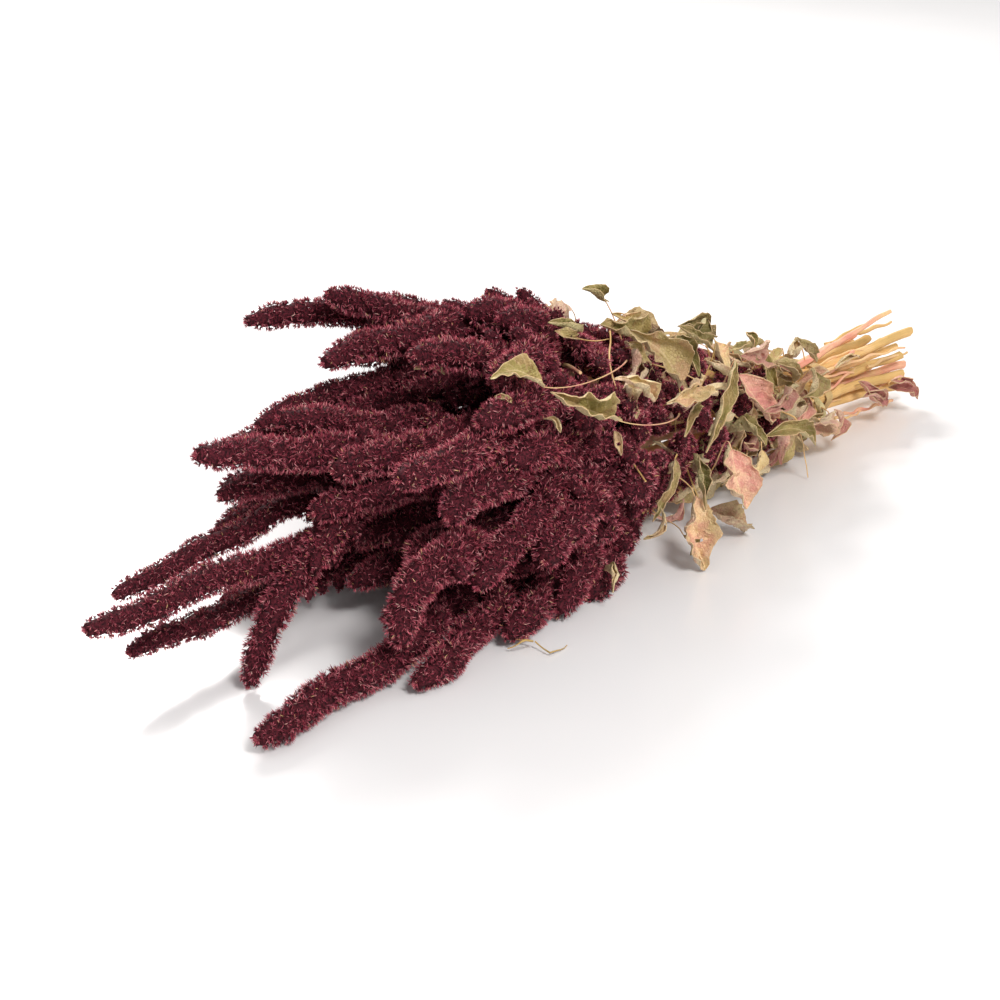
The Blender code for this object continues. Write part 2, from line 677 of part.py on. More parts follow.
def new_object(name, vertices, faces, collection):
    mesh = bpy.data.meshes.new(name)
    mesh.from_pydata([tuple(point) for point in vertices], [], faces)
    body = bmesh.new()
    body.from_mesh(mesh)
    bmesh.ops.recalc_face_normals(body, faces=body.faces)
    body.to_mesh(mesh)
    body.free()
    made = bpy.data.objects.new(name, mesh)
    collection.objects.link(made)
    return made


def spike_solid(name, line, radii, foot_way, collection):
    """One spike: a tube whose skin stands up in rows of four-sided florets leaning to the tip."""
    end_steps = foot_way, line[-1] - line[-2]
    count = max(3, round(np.linalg.norm(np.diff(line, axis=0), axis=1).sum() / RING_STEP) + 1)
    reach = np.linspace(0, len(line) - 1, count)
    radii = np.interp(reach, np.arange(len(line)), radii)
    line = np.stack([np.interp(reach, np.arange(len(line)), line[:, axis]) for axis in range(3)], axis=1)
    ahead, side, up = tube_frames(line, *end_steps)
    rings = []
    for row, (point, radius) in enumerate(zip(line, radii)):
        ring = []
        for column in range(SPIKE_SIDES):
            turn = 2 * math.pi * column / SPIKE_SIDES
            proud = (row + column) % 2 == 0
            out = side[row] * math.cos(turn) + up[row] * math.sin(turn)
            lean = ahead[row] * RING_STEP * FORWARD if proud and 0 < row < count - 1 else 0
            ring.append(point + out * radius * (1 if proud else HOLLOW) + lean)
        rings.append(ring)
    vertices, faces = closed_loft(rings, line[0], line[-1] + ahead[-1] * 2.5 * MM)
    return new_object(name, vertices, faces, collection)


def stem_solid(name, line, collection):
    """One stem: a six-sided tube cut square at both ends, with a ring of points at each edge of the tie."""
    end_steps = line[1] - line[0], line[-1] - line[-2]
    tie_edges = TIE_X + TIE_HALF_WIDTH, TIE_X - TIE_HALF_WIDTH
    stations = []
    for start, end in ((line[0, 0], tie_edges[0]), (tie_edges[1], line[-1, 0])):
        stations += list(np.linspace(start, end, round((start - end) / STEM_RING_STEP) + 1))
    order = np.argsort(line[:, 0])
    line = np.stack([np.interp(stations, line[order, 0], line[order, axis]) for axis in range(3)], axis=1)
    _, side, up = tube_frames(line, *end_steps)
    rings = []
    for row, point in enumerate(line):
        turns = [2 * math.pi * column / STEM_SIDES for column in range(STEM_SIDES)]
        rings.append([
            point + (side[row] * math.cos(turn) + up[row] * math.sin(turn)) * STEM_RADIUS
            for turn in turns])
    vertices, faces = closed_loft(rings, line[0], line[-1])
    return new_object(name, vertices, faces, collection)


def leaf_solid(leaf, collection):
    """One leaf: a stalk that flattens into a thin folded blade, triangulated alike on both faces."""
    rings = []
    _, side, up = leaf.frame()
    side_here = side
    corners = stalk_corners(leaf)
    for point, after in reversed(list(zip(corners, corners[1:]))):
        way = unit(after - point)
        side_here = unit(side_here - way * (side_here @ way)) * PETIOLE_RADIUS
        up_here = unit(np.cross(way, side_here))
        rings.insert(0, flat_ring(point - side_here, point, point + side_here, up_here, 2 * PETIOLE_RADIUS))
    small = np.linalg.norm(leaf.tip - leaf.base) < SMALL_BLADE
    for share in SMALL_BLADE_STATIONS if small else BLADE_STATIONS:
        left, middle, right = blade_points(leaf, [share] * 3, [-1, 0, 1])
        rings.append(flat_ring(left, middle, right, up, BLADE_THICKNESS))
    vertices = [point for ring in rings for point in ring]
    faces = []
    for row in range(len(rings) - 1):
        a, b = row * 6, row * 6 + 6
        for column in range(2):
            for low, flip in ((0, False), (3, True)):
                p, q = a + low + column, a + low + column + 1
                r, s = b + low + column + 1, b + low + column
                pair = [(p, q, r), (p, r, s)] if column == 0 else [(p, q, s), (q, r, s)]
                faces += [face[::-1] for face in pair] if flip else pair
        for p, q in ((0, 3), (2, 5)):
            faces += [(a + p, b + p, b + q), (a + p, b + q, a + q)]
    for row in (0, len(rings) - 1):
        a = row * 6
        faces += [(a, a + 1, a + 4), (a, a + 4, a + 3), (a + 1, a + 2, a + 5), (a + 1, a + 5, a + 4)]
    return new_object(leaf.name, vertices, faces, collection)


def flat_ring(left, middle, right, up, thickness):
    """Six points: three on the upper face and the three below them."""
    return [point + up * thickness * half for half in (0.5, -0.5) for point in (left, middle, right)]


def union(name, parts, collection):
    """Joins a collection's closed bodies in one object and removes them."""
    bpy.context.scene.collection.children.link(collection)
    first, others = parts[0], parts[1:]
    collection.objects.unlink(first)
    bpy.context.scene.collection.objects.link(first)
    first.name = name
    if others:
        join = first.modifiers.new("join", "BOOLEAN")
        join.operation = "UNION"
        join.operand_type = "COLLECTION"
        join.collection = collection
        join.solver = "MANIFOLD"
    apply_modifiers(first)
    for part in others:
        bpy.data.objects.remove(part)
    bpy.data.collections.remove(collection)
    keep_largest_shell(first)
    return first


def keep_largest_shell(made):
    """Drops loose scraps, and the inner shells of hollows that the joining closed."""
    body = bmesh.new()
    body.from_mesh(made.data)
    left = set(body.verts)
    shells = []
    while left:
        shell = {left.pop()}
        edge = list(shell)
        while edge:
            vertex = edge.pop()
            for link in vertex.link_edges:
                other = link.other_vert(vertex)
                if other not in shell:
                    shell.add(other)
                    edge.append(other)
        left -= shell
        shells.append(shell)
    largest = max(shells, key=len)
    scraps = [vertex for shell in shells if shell is not largest for vertex in shell]
    bmesh.ops.delete(body, geom=scraps, context="VERTS")
    body.to_mesh(made.data)
    body.free()


def apply_modifiers(made):
    evaluated = made.evaluated_get(bpy.context.evaluated_depsgraph_get())
    mesh = bpy.data.meshes.new_from_object(evaluated)
    made.modifiers.clear()
    made.data = mesh
    mesh.name = made.name


def press_flat(made):
    """Cuts away what reaches below the surface that the bunch lies on."""
    if min(vertex.co.z for vertex in made.data.vertices) >= 0:
        return
    mesh = bpy.data.meshes.new("surface")
    body = bmesh.new()
    bmesh.ops.create_cube(body, size=1)
    body.to_mesh(mesh)
    body.free()
    mesh.transform(Matrix.Translation((0, 0, -0.5)))
    cutter = bpy.data.objects.new("surface", mesh)
    bpy.context.scene.collection.objects.link(cutter)
    cut = made.modifiers.new("cut", "BOOLEAN")
    cut.operation = "DIFFERENCE"
    cut.object = cutter
    cut.solver = "MANIFOLD"
    apply_modifiers(made)
    bpy.data.objects.remove(cutter)


def tie_solid(collection):
    """The tie: a flat band drawn round all the stems."""
    inner = tie_outline()
    middle = inner.mean(axis=0)
    outward = np.roll(inner, 1, axis=0) - np.roll(inner, -1, axis=0)
    outward = np.stack([-outward[:, 1], outward[:, 0]], axis=1)
    outward /= np.linalg.norm(outward, axis=1)[:, None]
    outward *= np.sign(((inner - middle) * outward).sum(axis=1))[:, None]
    outer = inner + outward * TIE_THICKNESS
    vertices = []
    for (low_y, low_z), (high_y, high_z) in zip(inner, outer):
        for x in (TIE_X - TIE_HALF_WIDTH, TIE_X + TIE_HALF_WIDTH):
            vertices += [(x, low_y, low_z), (x, high_y, high_z)]
    faces = []
    for side in range(TIE_SIDES):
        a, b = side * 4, (side + 1) % TIE_SIDES * 4
        for p, q in ((0, 1), (1, 3), (3, 2), (2, 0)):
            faces.append((a + p, b + p, b + q, a + q))
    return new_object("tie", vertices, faces, collection)


# Assembly

def finish(name):
    colour, roughness = FINISHES[name]
    material = bpy.data.materials.new(name)
    material.use_nodes = True
    shader = material.node_tree.nodes["Principled BSDF"]
    shader.inputs["Base Color"].default_value = colour
    shader.inputs["Roughness"].default_value = roughness
    shader.inputs["Metallic"].default_value = 0
    return material


def dress(made, material, sharp_angle):
    made.data.materials.clear()
    made.data.materials.append(material)
    made.data.shade_smooth()
    made.data.set_sharp_from_angle(angle=math.radians(sharp_angle))


def build_head(name, stem, spikes):
    """One head; the foot of its main spike is square to the end of its stem."""
    collection = bpy.data.collections.new(name)
    parts = []
    for head, line, radii in spikes:
        if head == name:
            foot_way = line[1] - line[0] if parts else stem[-1] - stem[-2]
            parts.append(spike_solid(f"{name}_{len(parts)}", line, radii, foot_way, collection))
    made = union(f"head_{name}", parts, collection)
    press_flat(made)
    return made


def build_leafy_stem(name, line, leaves):
    collection = bpy.data.collections.new(name)
    parts = [stem_solid(f"{name}_stem", line, collection)]
    parts += [leaf_solid(leaf, collection) for leaf in leaves if leaf.stem == name]
    return union(f"stem_{name}", parts, collection)


def centre_under(made):
    """Moves everything so that the origin is at the middle of the bunch's lowest plane."""
    corners = np.array([vertex.co[:] for body in made for vertex in body.data.vertices])
    low, high = corners.min(axis=0), corners.max(axis=0)
    shift = -np.array([(low[0] + high[0]) / 2, (low[1] + high[1]) / 2, low[2]])
    for body in made:
        body.data.transform(Matrix.Translation(shift))


def main():
    for old in list(bpy.data.objects):
        bpy.data.objects.remove(old)
    materials = {name: finish(name) for name in FINISHES}
    stems, spikes, leaves = plan_bunch()
    made = []
    for name in NAMES:
        head = build_head(name, stems[name], spikes)
        dress(head, materials["burgundy"], 80)
        stem = build_leafy_stem(name, stems[name], leaves)
        dress(stem, materials["dry_green"], 50)
        made += [head, stem]
    tie = tie_solid(bpy.context.scene.collection)
    dress(tie, materials["raffia"], 50)
    made.append(tie)
    centre_under(made)


main()
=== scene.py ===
"""Looks of the dried amaranth bunch: bristly florets, crumpled leaves, ribbed stems and a raffia tie."""

import math
import random
from dataclasses import dataclass, replace

import bpy
import numpy as np
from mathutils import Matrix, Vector
from mathutils.bvhtree import BVHTree


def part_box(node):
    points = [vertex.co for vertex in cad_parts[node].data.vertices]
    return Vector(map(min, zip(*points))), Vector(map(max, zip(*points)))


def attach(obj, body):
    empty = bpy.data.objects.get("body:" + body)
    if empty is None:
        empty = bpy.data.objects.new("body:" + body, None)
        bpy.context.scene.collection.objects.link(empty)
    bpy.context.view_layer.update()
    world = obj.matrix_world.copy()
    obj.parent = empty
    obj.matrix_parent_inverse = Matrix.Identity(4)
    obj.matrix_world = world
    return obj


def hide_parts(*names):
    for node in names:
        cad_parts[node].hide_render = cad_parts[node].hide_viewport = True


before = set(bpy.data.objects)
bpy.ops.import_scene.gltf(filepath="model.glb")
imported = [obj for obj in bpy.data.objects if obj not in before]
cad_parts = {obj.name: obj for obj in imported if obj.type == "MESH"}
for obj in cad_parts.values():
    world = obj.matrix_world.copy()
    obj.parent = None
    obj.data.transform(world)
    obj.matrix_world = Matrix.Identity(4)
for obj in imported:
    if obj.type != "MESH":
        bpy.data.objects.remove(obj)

# Driving sizes
MM = 0.001
STEM_RADIUS = 3.6 * MM
SPIKE_RADIUS = 8.4 * MM
PETIOLE_RADIUS = 0.8 * MM
NODE_STEP = 8 * MM
CUT_X, TIE_X, SHOULDER_X = 392 * MM, 300 * MM, 60 * MM
TIE_CENTRE = np.array([16, 27]) * MM
CUT_CENTRE = np.array([10, 27.5]) * MM
CUT_SPLAY = np.array([1.75, 1.5])
SHOULDER_CENTRE = np.array([34, 66]) * MM
STEM_PITCH = 7.75 * MM
HEAD_GAP = 1.0 * MM
OPENING = 1.3
PRESSED = 0.75

# How the stems gather at the tie, and how the spikes are drawn and settle against each other
GATHER_TURNS, PULLED_TURNS = 500, 400
GATHER_START, GATHER_PULL = 0.22, 0.99
LINE_POINTS = 60
LINE_PULL = 0.8
NOD_START = 0.7
SPIKE_PROFILE = [0, 0.12, 0.5, 0.85, 0.96, 1], [0.85, 1, 1, 0.86, 0.7, 0.42]
SETTLE_ROUNDS, FREE_ROUNDS = 160, 25
HOME_PULL, BEND_HOLD = 0.01, 0.35
PAIR_REACH, STEM_REACH = 4 * SPIKE_RADIUS, 3 * SPIKE_RADIUS
SQUEEZE_GAP = 0.6 * HEAD_GAP
SLIMMEST = 0.3
TINY = 1e-9

# Each head: place (y, z) of its stem at the shoulder, the x where it begins, then its spikes.
# A spike: share of the main spike where it branches, tip (x, y, z), arch, nod of the tip, and girth.
# Millimetres.
HEADS = {
    "front_low": ((-20, 16), 92, [
        (0, (-214, -40, 8), 0, 0, 1.05),
        (0.30, (-125, -56, 6), 0, 0, 1.0),
        (0.36, (-132, -49, 28), 26, 12, 1.15),
        (0.16, (-58, -52, 8), 0, 0, 1.05),
        (0.10, (-22, -50, 8), 0, 0, 1.05),
        (0.06, (8, -44, 8), 2, 0, 1.05),
        (0.05, (24, -44, 34), 2, 0, 1.1),
    ]),
    "mid_low": ((16, 14), 100, [
        (0, (-90, -4, 12), 4, 0, 1.0),
        (0.30, (-100, -32, 38), 12, 6, 1.2),
        (0.30, (-84, 26, 22), 2, 0, 0.95),
        (0.10, (-20, -40, 26), 4, 0, 1.1),
    ]),
    "back_low": ((56, 14), 112, [
        (0, (-207, 48, 21), 2, 0, 0.85),
        (0.25, (-110, 88, 3), 0, 0, 0.95),
        (0.05, (-40, 112, 2), 0, 0, 1.0),
        (0.10, (0, 74, 2), 0, 0, 1.0),
    ]),
    "near": ((-32, 50), 86, [
        (0, (-92, -44, 77), 10, 4, 1.15),
        (0.15, (-42, -62, 44), 4, 0, 1.15),
        (0.10, (-46, -40, 92), 6, 0, 1.05),
        (0.30, (-80, -52, 40), 4, 2, 1.0),
        (0.04, (28, -54, 56), 2, 0, 1.1),
    ]),
    "middle": ((6, 50), 105, [
        (0, (-247, 28, 51), 2, 2, 0.95),
        (0.40, (-170, 10, 4), 22, 14, 0.95),
        (0.30, (-128, 6, 76), 6, 0, 1.0),
    ]),
    "inner": ((42, 50), 100, [
        (0, (-197, 66, 40), 12, 2, 0.8),
        (0.32, (-154, 40, 84), 4, 2, 0.95),
        (0.22, (-90, 92, 50), 4, 0, 0.9),
    ]),
    "far_low": ((82, 50), 118, [
        (0, (-88, 112, 30), 4, 0, 0.95),
        (0.20, (-60, 136, 20), 2, 0, 1.0),
        (0.15, (-70, 118, 66), 4, 2, 0.95),
        (0.08, (20, 124, 40), 2, 0, 1.0),
    ]),
    "near_up": ((-20, 84), 88, [
        (0, (-122, -46, 103), 6, 0, 1.05),
        (0.20, (-62, -36, 108), 4, 0, 1.05),
        (0.06, (4, -46, 98), 4, 0, 1.05),
    ]),
    "leader": ((18, 84), 108, [
        (0, (-187, 18, 120), -12, 0, 1.0),
        (0.35, (-121, 32, 117), -4, 0, 0.88),
        (0.30, (-118, 0, 96), 0, 0, 1.0),
    ]),
    "far_mid": ((54, 86), 105, [
        (0, (-112, 56, 104), 2, 8, 0.8),
        (0.20, (-118, 82, 84), 2, 0, 0.95),
        (0.30, (-104, 46, 90), 4, 0, 0.95),
    ]),
    "far": ((90, 84), 124, [
        (0, (-62, 128, 60), 4, 2, 0.95),
        (0.20, (-14, 148, 56), 2, 0, 1.0),
        (0.10, (24, 128, 98), 2, 0, 1.0),
    ]),
    "top_near": ((8, 112), 84, [
        (0, (-64, -2, 140), -2, 0, 0.95),
        (0.20, (-34, -28, 122), 4, 0, 1.05),
        (0.06, (12, 10, 138), 0, 0, 1.05),
    ]),
    "top": ((42, 114), 96, [
        (0, (-86, 38, 132), 8, 2, 0.95),
        (0.06, (8, 30, 138), 0, 0, 1.0),
        (0.30, (-44, 60, 122), 0, 0, 0.9),
    ]),
    "top_far": ((74, 106), 116, [
        (0, (-76, 97, 139), 4, 8, 0.88),
        (0.34, (-50, 68, 154), 0, -3, 0.8),
        (0.08, (6, 96, 130), 0, 0, 0.95),
    ]),
}
NAMES = list(HEADS)

# Leaves placed one by one: base and tip of the blade, way its upper face looks, width, fold in degrees,
# arch along the blade, and tone from green (0) through tan (0.5) to pink (1). Millimetres.
LEAVES = {
    "broad_top": ((101, -36, 88), (87, -14, 118), (-0.6, -1, 0.7), 24, 24, 4, 0.42),
    "ribbon": ((164, -27, 86), (121, -40, 48), (-0.3, -1, 0.3), 10, 40, 4, 0.15),
    "pink_upper": ((177, -21, 73), (202, -29, 43), (-0.2, -1, 0.5), 22, 14, 5, 0.85),
    "olive_tip": ((148, -5, 94), (165, -7, 105), (-0.6, -1, 0.3), 14, 30, 2, 0.05),
    "olive_side": ((140, -8, 101), (128, -29, 86), (-0.6, -0.6, 1), 12, 34, 4, 0.1),
    "olive_low": ((167, -23, 43), (155, -55, 46), (-0.4, -1, 0.6), 13, 34, 4, 0.1),
    "olive_flat": ((186, -22, 39), (224, -30, 25), (-0.2, -1, 0.6), 13, 30, 5, 0.15),
    "blotched": ((120, -51, 54), (116, -64, 25), (-0.3, -1, 0.2), 24, 10, 3, 0.75),
    "hanging": ((91, -55, 36), (83, -68, 0), (-0.5, -1, 0.1), 22, 20, 4, 0.6),
    "shaded": ((172, -41, 36), (157, -43, 24), (-0.3, -1, 0.2), 9, 24, 3, 0.5),
    "brown_low": ((116, -46, 18), (142, -52, 0), (-0.2, -0.6, 1), 16, 20, 3, 0.6),
    "wisp": ((85, -46, 56), (60, -51, 30), (-0.7, -1, 0.2), 8, 40, 3, 0.35),
    "wisp_high": ((120, -36, 74), (90, -48, 67), (-0.5, -1, 0.4), 7, 36, 3, 0.3),
    "on_spikes": ((-16, -35, 117), (-48, -29, 128), (-0.4, -0.7, 1), 14, 12, 2, 0.25),
    "crisp": ((16, -58, 99), (-21, -49, 120), (-0.3, -1, 0.5), 18, 40, 4, 0.2),
    "cream_right": ((111, -42, 88), (72, -49, 90), (-0.3, -1, 0.6), 17, 36, 5, 0.52),
    "slim_top": ((142, -21, 98), (111, -21, 111), (-0.5, -1, 0.6), 10, 30, 2, 0.2),
    "top_green": ((106, 19, 125), (88, 18, 134), (-0.5, -1, 1), 11, 30, 2, 0.05),
    "top_yellow": ((122, 8, 110), (100, 8, 120), (-0.5, -1, 0.8), 11, 30, 2, 0.35),
    "top_olive": ((118, -2, 106), (80, 0, 120), (-0.4, -1, 0.8), 16, 26, 3, 0.2),
    "high_curl": ((42, -14, 125), (29, -11, 131), (-0.4, -1, 0.8), 9, 40, 2, 0.35),
    "rosy": ((212, -12, 68), (182, -18, 82), (-0.4, -1, 0.4), 20, 20, 3, 0.8),
    "spear": ((212, -6, 75), (215, 1, 84), (-0.6, -1, 0), 7, 40, 2, 0.1),
    "small_green": ((233, -10, 50), (226, -3, 74), (-0.6, -1, 0), 9, 30, 2, 0.1),
    "back_olive": ((184, 4, 84), (162, 10, 98), (-0.4, -0.6, 1), 14, 30, 3, 0.15),
    "cream_small": ((243, -13, 52), (221, -14, 68), (-0.3, -1, 0.5), 12, 36, 3, 0.45),
    "cream_drop": ((252, -12, 52), (232, -18, 41), (-0.3, -1, 0.4), 12, 30, 3, 0.3),
    "tan_small": ((264, -6, 54), (246, -4, 68), (-0.4, -1, 0.4), 11, 30, 2, 0.4),
    "foot_tan": ((255, -16, 35), (237, -20, 28), (-0.3, -1, 0.4), 9, 24, 3, 0.85),
    "pink_foot": ((322, -8, 30), (344, -16, 14), (-0.2, -1, 0.5), 12, 30, 2, 0.9),
    "pink_foot_far": ((352, -8, 20), (370, -18, 10), (-0.2, -1, 0.5), 11, 30, 2, 0.9),
    "dusky_back": ((202, -24, 58), (174, -29, 52), (-0.4, -1, 0.5), 13, 30, 3, 0.85),
    "under_curl": ((92, -48, 12), (90, -54, 3), (-0.3, -1, 0.2), 9, 30, 2, 0.25),
}

# Leaves placed by rule round the rest of the bunch: how many, and their arc from +Y over the top
RULE_LEAVES = 12
RULE_ARC = (-50, 130)
RULE_REACH = (110 * MM, 262 * MM)
# Their distance from the middle at the tie and what the opening adds to it, length, lean and slant
RULE_RING = (18, 30)
RULE_LOWEST = 8 * MM
RULE_LENGTH = (32, 54)
RULE_LEAN, RULE_SLANT = (0, 0.3), (-0.5, 0.5)
# Width, fold in degrees, arch and tone of a leaf placed by rule
RULE_SHAPE = ((10, 17), (10, 40), (-4, 5), (0.05, 0.95))

# Room round a leaf, and the places that are tried for it and for the root of its stalk
BLADE_GAP = 1.5 * MM
LEAF_SPACING = 4.8 * MM
TIE_ROOM = 3 * MM
STEM_END_ROOM = (4 * MM, 6 * MM)
SAMPLE_STEP = 3.2 * MM
LIFTS = range(0, 34, 3)
ROOTS_BACK = (12, 24, 40, 60, 90, 120)
FIRST_ROOT_X = 70 * MM
NEAREST_STEMS = 3
GOLDEN_SHARE = 0.618

# Stalks
STALK_POINTS = 41
STALK_SAMPLES = 14
STALK_STATIONS = [0, 0.55, 1]
LONG_STALK_STATIONS = [0, 0.25, 0.5, 0.75, 1]
LONG_STALK = 45 * MM
STALK_LEAN = np.array([-0.6, 0, 0])
STALK_ARRIVAL = 0.7
STALK_CELL = 5 * MM
STALK_TAPER = (0.7, 0.4)
STALK_FLATNESS = 0.8
STALK_SIDES = 5

# Where the pieces meet, and the finish of every mesh
FACE_GAP = 0.3 * MM
LOWEST = 0.05 * MM
SHARP_ANGLE = math.radians(60)

# Spikes and their short side spikes
FINE_STEP = 2 * MM
CORE_SHARE = 0.72
CORE_SIDES = 12
KNOB_PERIOD = 4.6 * MM
KNOB_SIZE = 0.05
LUMP_PERIOD = (14 * MM, 36 * MM)
LUMP_SIZE = (0.02, 0.06)
WANDER_PERIOD = (45 * MM, 90 * MM)
WANDER_SIZE = (0.8 * MM, 2.2 * MM)
WANDER_START = 30 * MM
WANDER_UP = 0.6
TIP_FULLNESS = 0.22
FINGER_SIDES = 8
FINGER_SHARE = 0.62
FINGER_STEP = (4.5 * MM, 8.5 * MM)
FINGER_REACH = (1.5, 2.9)
FINGER_GIRTH = (0.44, 0.6)
FINGER_LEAN = (0.5, 1.2)
FINGER_DROOP = 0.1
FINGER_FADE = 0.35
FINGER_PROFILE = [0, 0.3, 0.75, 0.93, 1], [0.9, 1, 0.95, 0.75, 0.45]

# Clusters of bracts on the spikes, fuller where they can be seen
GOLDEN_ANGLE = math.radians(137.5)
CLUSTER_SEAT = 0.77
CLUSTER_AREA = 6.5 * MM * MM
CLUSTER_LEAN = 0.45
PLACE_JITTER = 0.8 * MM
TURN_JITTER = 0.2
END_LEAN = 1.4
END_REACH = 8 * MM
CLUSTER_BRACTS = 6
SHADED_BRACTS = 2
SHADED_SHARE = 0.25
TIP_BRACTS = 40
TIP_SHARE = 0.8
BRACT_SPREAD = 0.5
BRACT_OUTWARD, BRACT_TURN = 0.2, 1.5
BRACT_START = 0.3
BRACT_LENGTH = (1.9 * MM, 3.4 * MM)
BRACT_WIDTH = (0.26 * MM, 0.44 * MM)
BURIED_SHARE = 0.72
LOOKS = 16
LOOK_REACH = 90 * MM
LOOK_START = 0.35
LOOK_SPAN = 1.25

# Blades: cells, folds, wrinkles, ruffled and ragged edges, tears and veins
BLADE_THICKNESS = 0.7 * MM
BLADE_TWIST, BLADE_BEND, BLADE_CURL = (-0.5, 0.5), (-0.08, 0.08), (-0.25, 0.45)
BLADE_WAVE, BLADE_WAVES, BLADE_SHIFT = 0.28, 7.5, 1.3
LEAF_THICKNESS = 0.4 * MM
CELL = 1.7 * MM
SMALL_CELL = 2.5 * MM
FOLDS = 6
FOLD_SIZE = (0.5 * MM, 1.7 * MM)
FOLD_PERIOD = (7 * MM, 17 * MM)
WRINKLES = 3
WRINKLE_SIZE = (0.15 * MM, 0.4 * MM)
WRINKLE_PERIOD = (4.5 * MM, 7 * MM)
RUFFLE_SIZE = (0.4 * MM, 1.3 * MM)
RUFFLE_PERIOD = (6 * MM, 12 * MM)
EDGE_WAVES = ((2.3, 0.05), (5.7, 0.03), (11.3, 0.03))
FULL_CRUMPLE_WIDTH = 18 * MM
CRUMPLE_FADES, TIP_CRUMPLE = (0.15, 0.1), 0.2
BROAD_ROLL = 1.3
TEARS = (0, 0, 1, 2)
TEAR_PLACE = ((0.25, 0.85), (-0.6, 0.6))
TEAR_RADIUS = (0.9, 1.7)
UNDERSIDE = 2.0
VEINS = 8.0
VEIN_SWEEP = 2.0
VEIN_RISE = 0.15 * MM
VEIN_WIDTH = 0.09

# Stems and their cut ends
STEM_STEP = 6 * MM
STEM_SIDES_FINE = 16
STEM_SHRUNK = (0.6, 0.84)
STEM_SWELL = 0.05
STEM_SWAY = 0.45 * MM
STEM_WIDEST = 0.95 * STEM_RADIUS
SWELL_PERIOD, SWAY_PERIOD = (6, 16), (5, 11)
RIBS = 6
RIB_SIZE = 0.07
RIB_TURNS = 0.4
KNUCKLE_SIZE, KNUCKLE_LENGTH = 0.35 * MM, 3.5 * MM
CUT_SLANT, CUT_SLANT_SHARE = 1.6 * MM, (0.3, 1)
CUT_DEPTH = 0.7 * MM
PITH_SHARE = 0.68

# The tie and its raffia
TIE_HALF_WIDTH = 4 * MM
TIE_THICKNESS = 1.8 * MM
TIE_CLEARANCE = 0.6 * MM
TIE_SIDES = 28
RAFFIA_STRANDS = 2
RAFFIA_TURNS, RAFFIA_TURN_STEPS = 3.2, 72
RAFFIA_PITCH = 1.9 * MM
RAFFIA_LIFT = 0.7 * MM
RAFFIA_WIDE, RAFFIA_THICK = 1.15 * MM, 0.45 * MM
RAFFIA_SIDES = 8
RAFFIA_INSET, RAFFIA_SHIFT = 1.2, 0.5
RAFFIA_SWAY, RAFFIA_WAVES = 0.35 * MM, (0.6, 1.4)
RAFFIA_SWELL, RAFFIA_SWELL_STEP = 0.12, 0.31

# Small dry leaves and tufts of florets that fill the bunch between the heads and the tie
SMALL_LEAVES = 125
SMALL_REACH = (84 * MM, 288 * MM)
SMALL_ARC = (-50, 235)
SMALL_SPACING = 2.2 * MM
SMALL_STEM_ROOM = 0.6 * MM
SMALL_TIE_ROOM = 2 * MM
SMALL_SINK = 0.8
SMALL_LIFTS = range(0, 20, 3)
SMALL_TONES = (0.05, 0.2, 0.35, 0.45, 0.5, 0.55, 0.7, 0.9)
SMALL_DEPTH = (-2, 8)
SMALL_LOWEST = 6 * MM
SMALL_LENGTH = (20, 40)
SMALL_WAY = np.array([-1, 0, -0.25])
SMALL_LEAN, SMALL_SLANT = (-0.3, 0.6), (-1.3, 1.3)
SMALL_FACE = ((-0.6, 0.4), (-0.4, 0.4), (-0.3, 0.6))
SMALL_LIFT_COST = 0.01
# Width as a share of the length, fold in degrees, arch in millimetres, roll and hook of a small leaf
SMALL_SHAPE = ((0.3, 0.58), (0, 45), (-5, 7), (0.8, 3.6), (-0.35, 0.35))
ROOT_BACK = 12 * MM
RING_NARROW = np.array([17, 15]) * MM
RING_WIDE = np.array([74, 54]) * MM
TUFT_DEPTH = 1 * MM
TUFTS = 146
TUFT_REACH = (52 * MM, 232 * MM)
TUFT_GIRTH = (4.6 * MM, 7.6 * MM)
TUFT_BIAS = 1.5
TUFT_LEAN, TUFT_SCATTER = (0.5, 1.1), 0.3
TUFT_PROUD = (8, 16)
SMALL_BIAS = 0.75

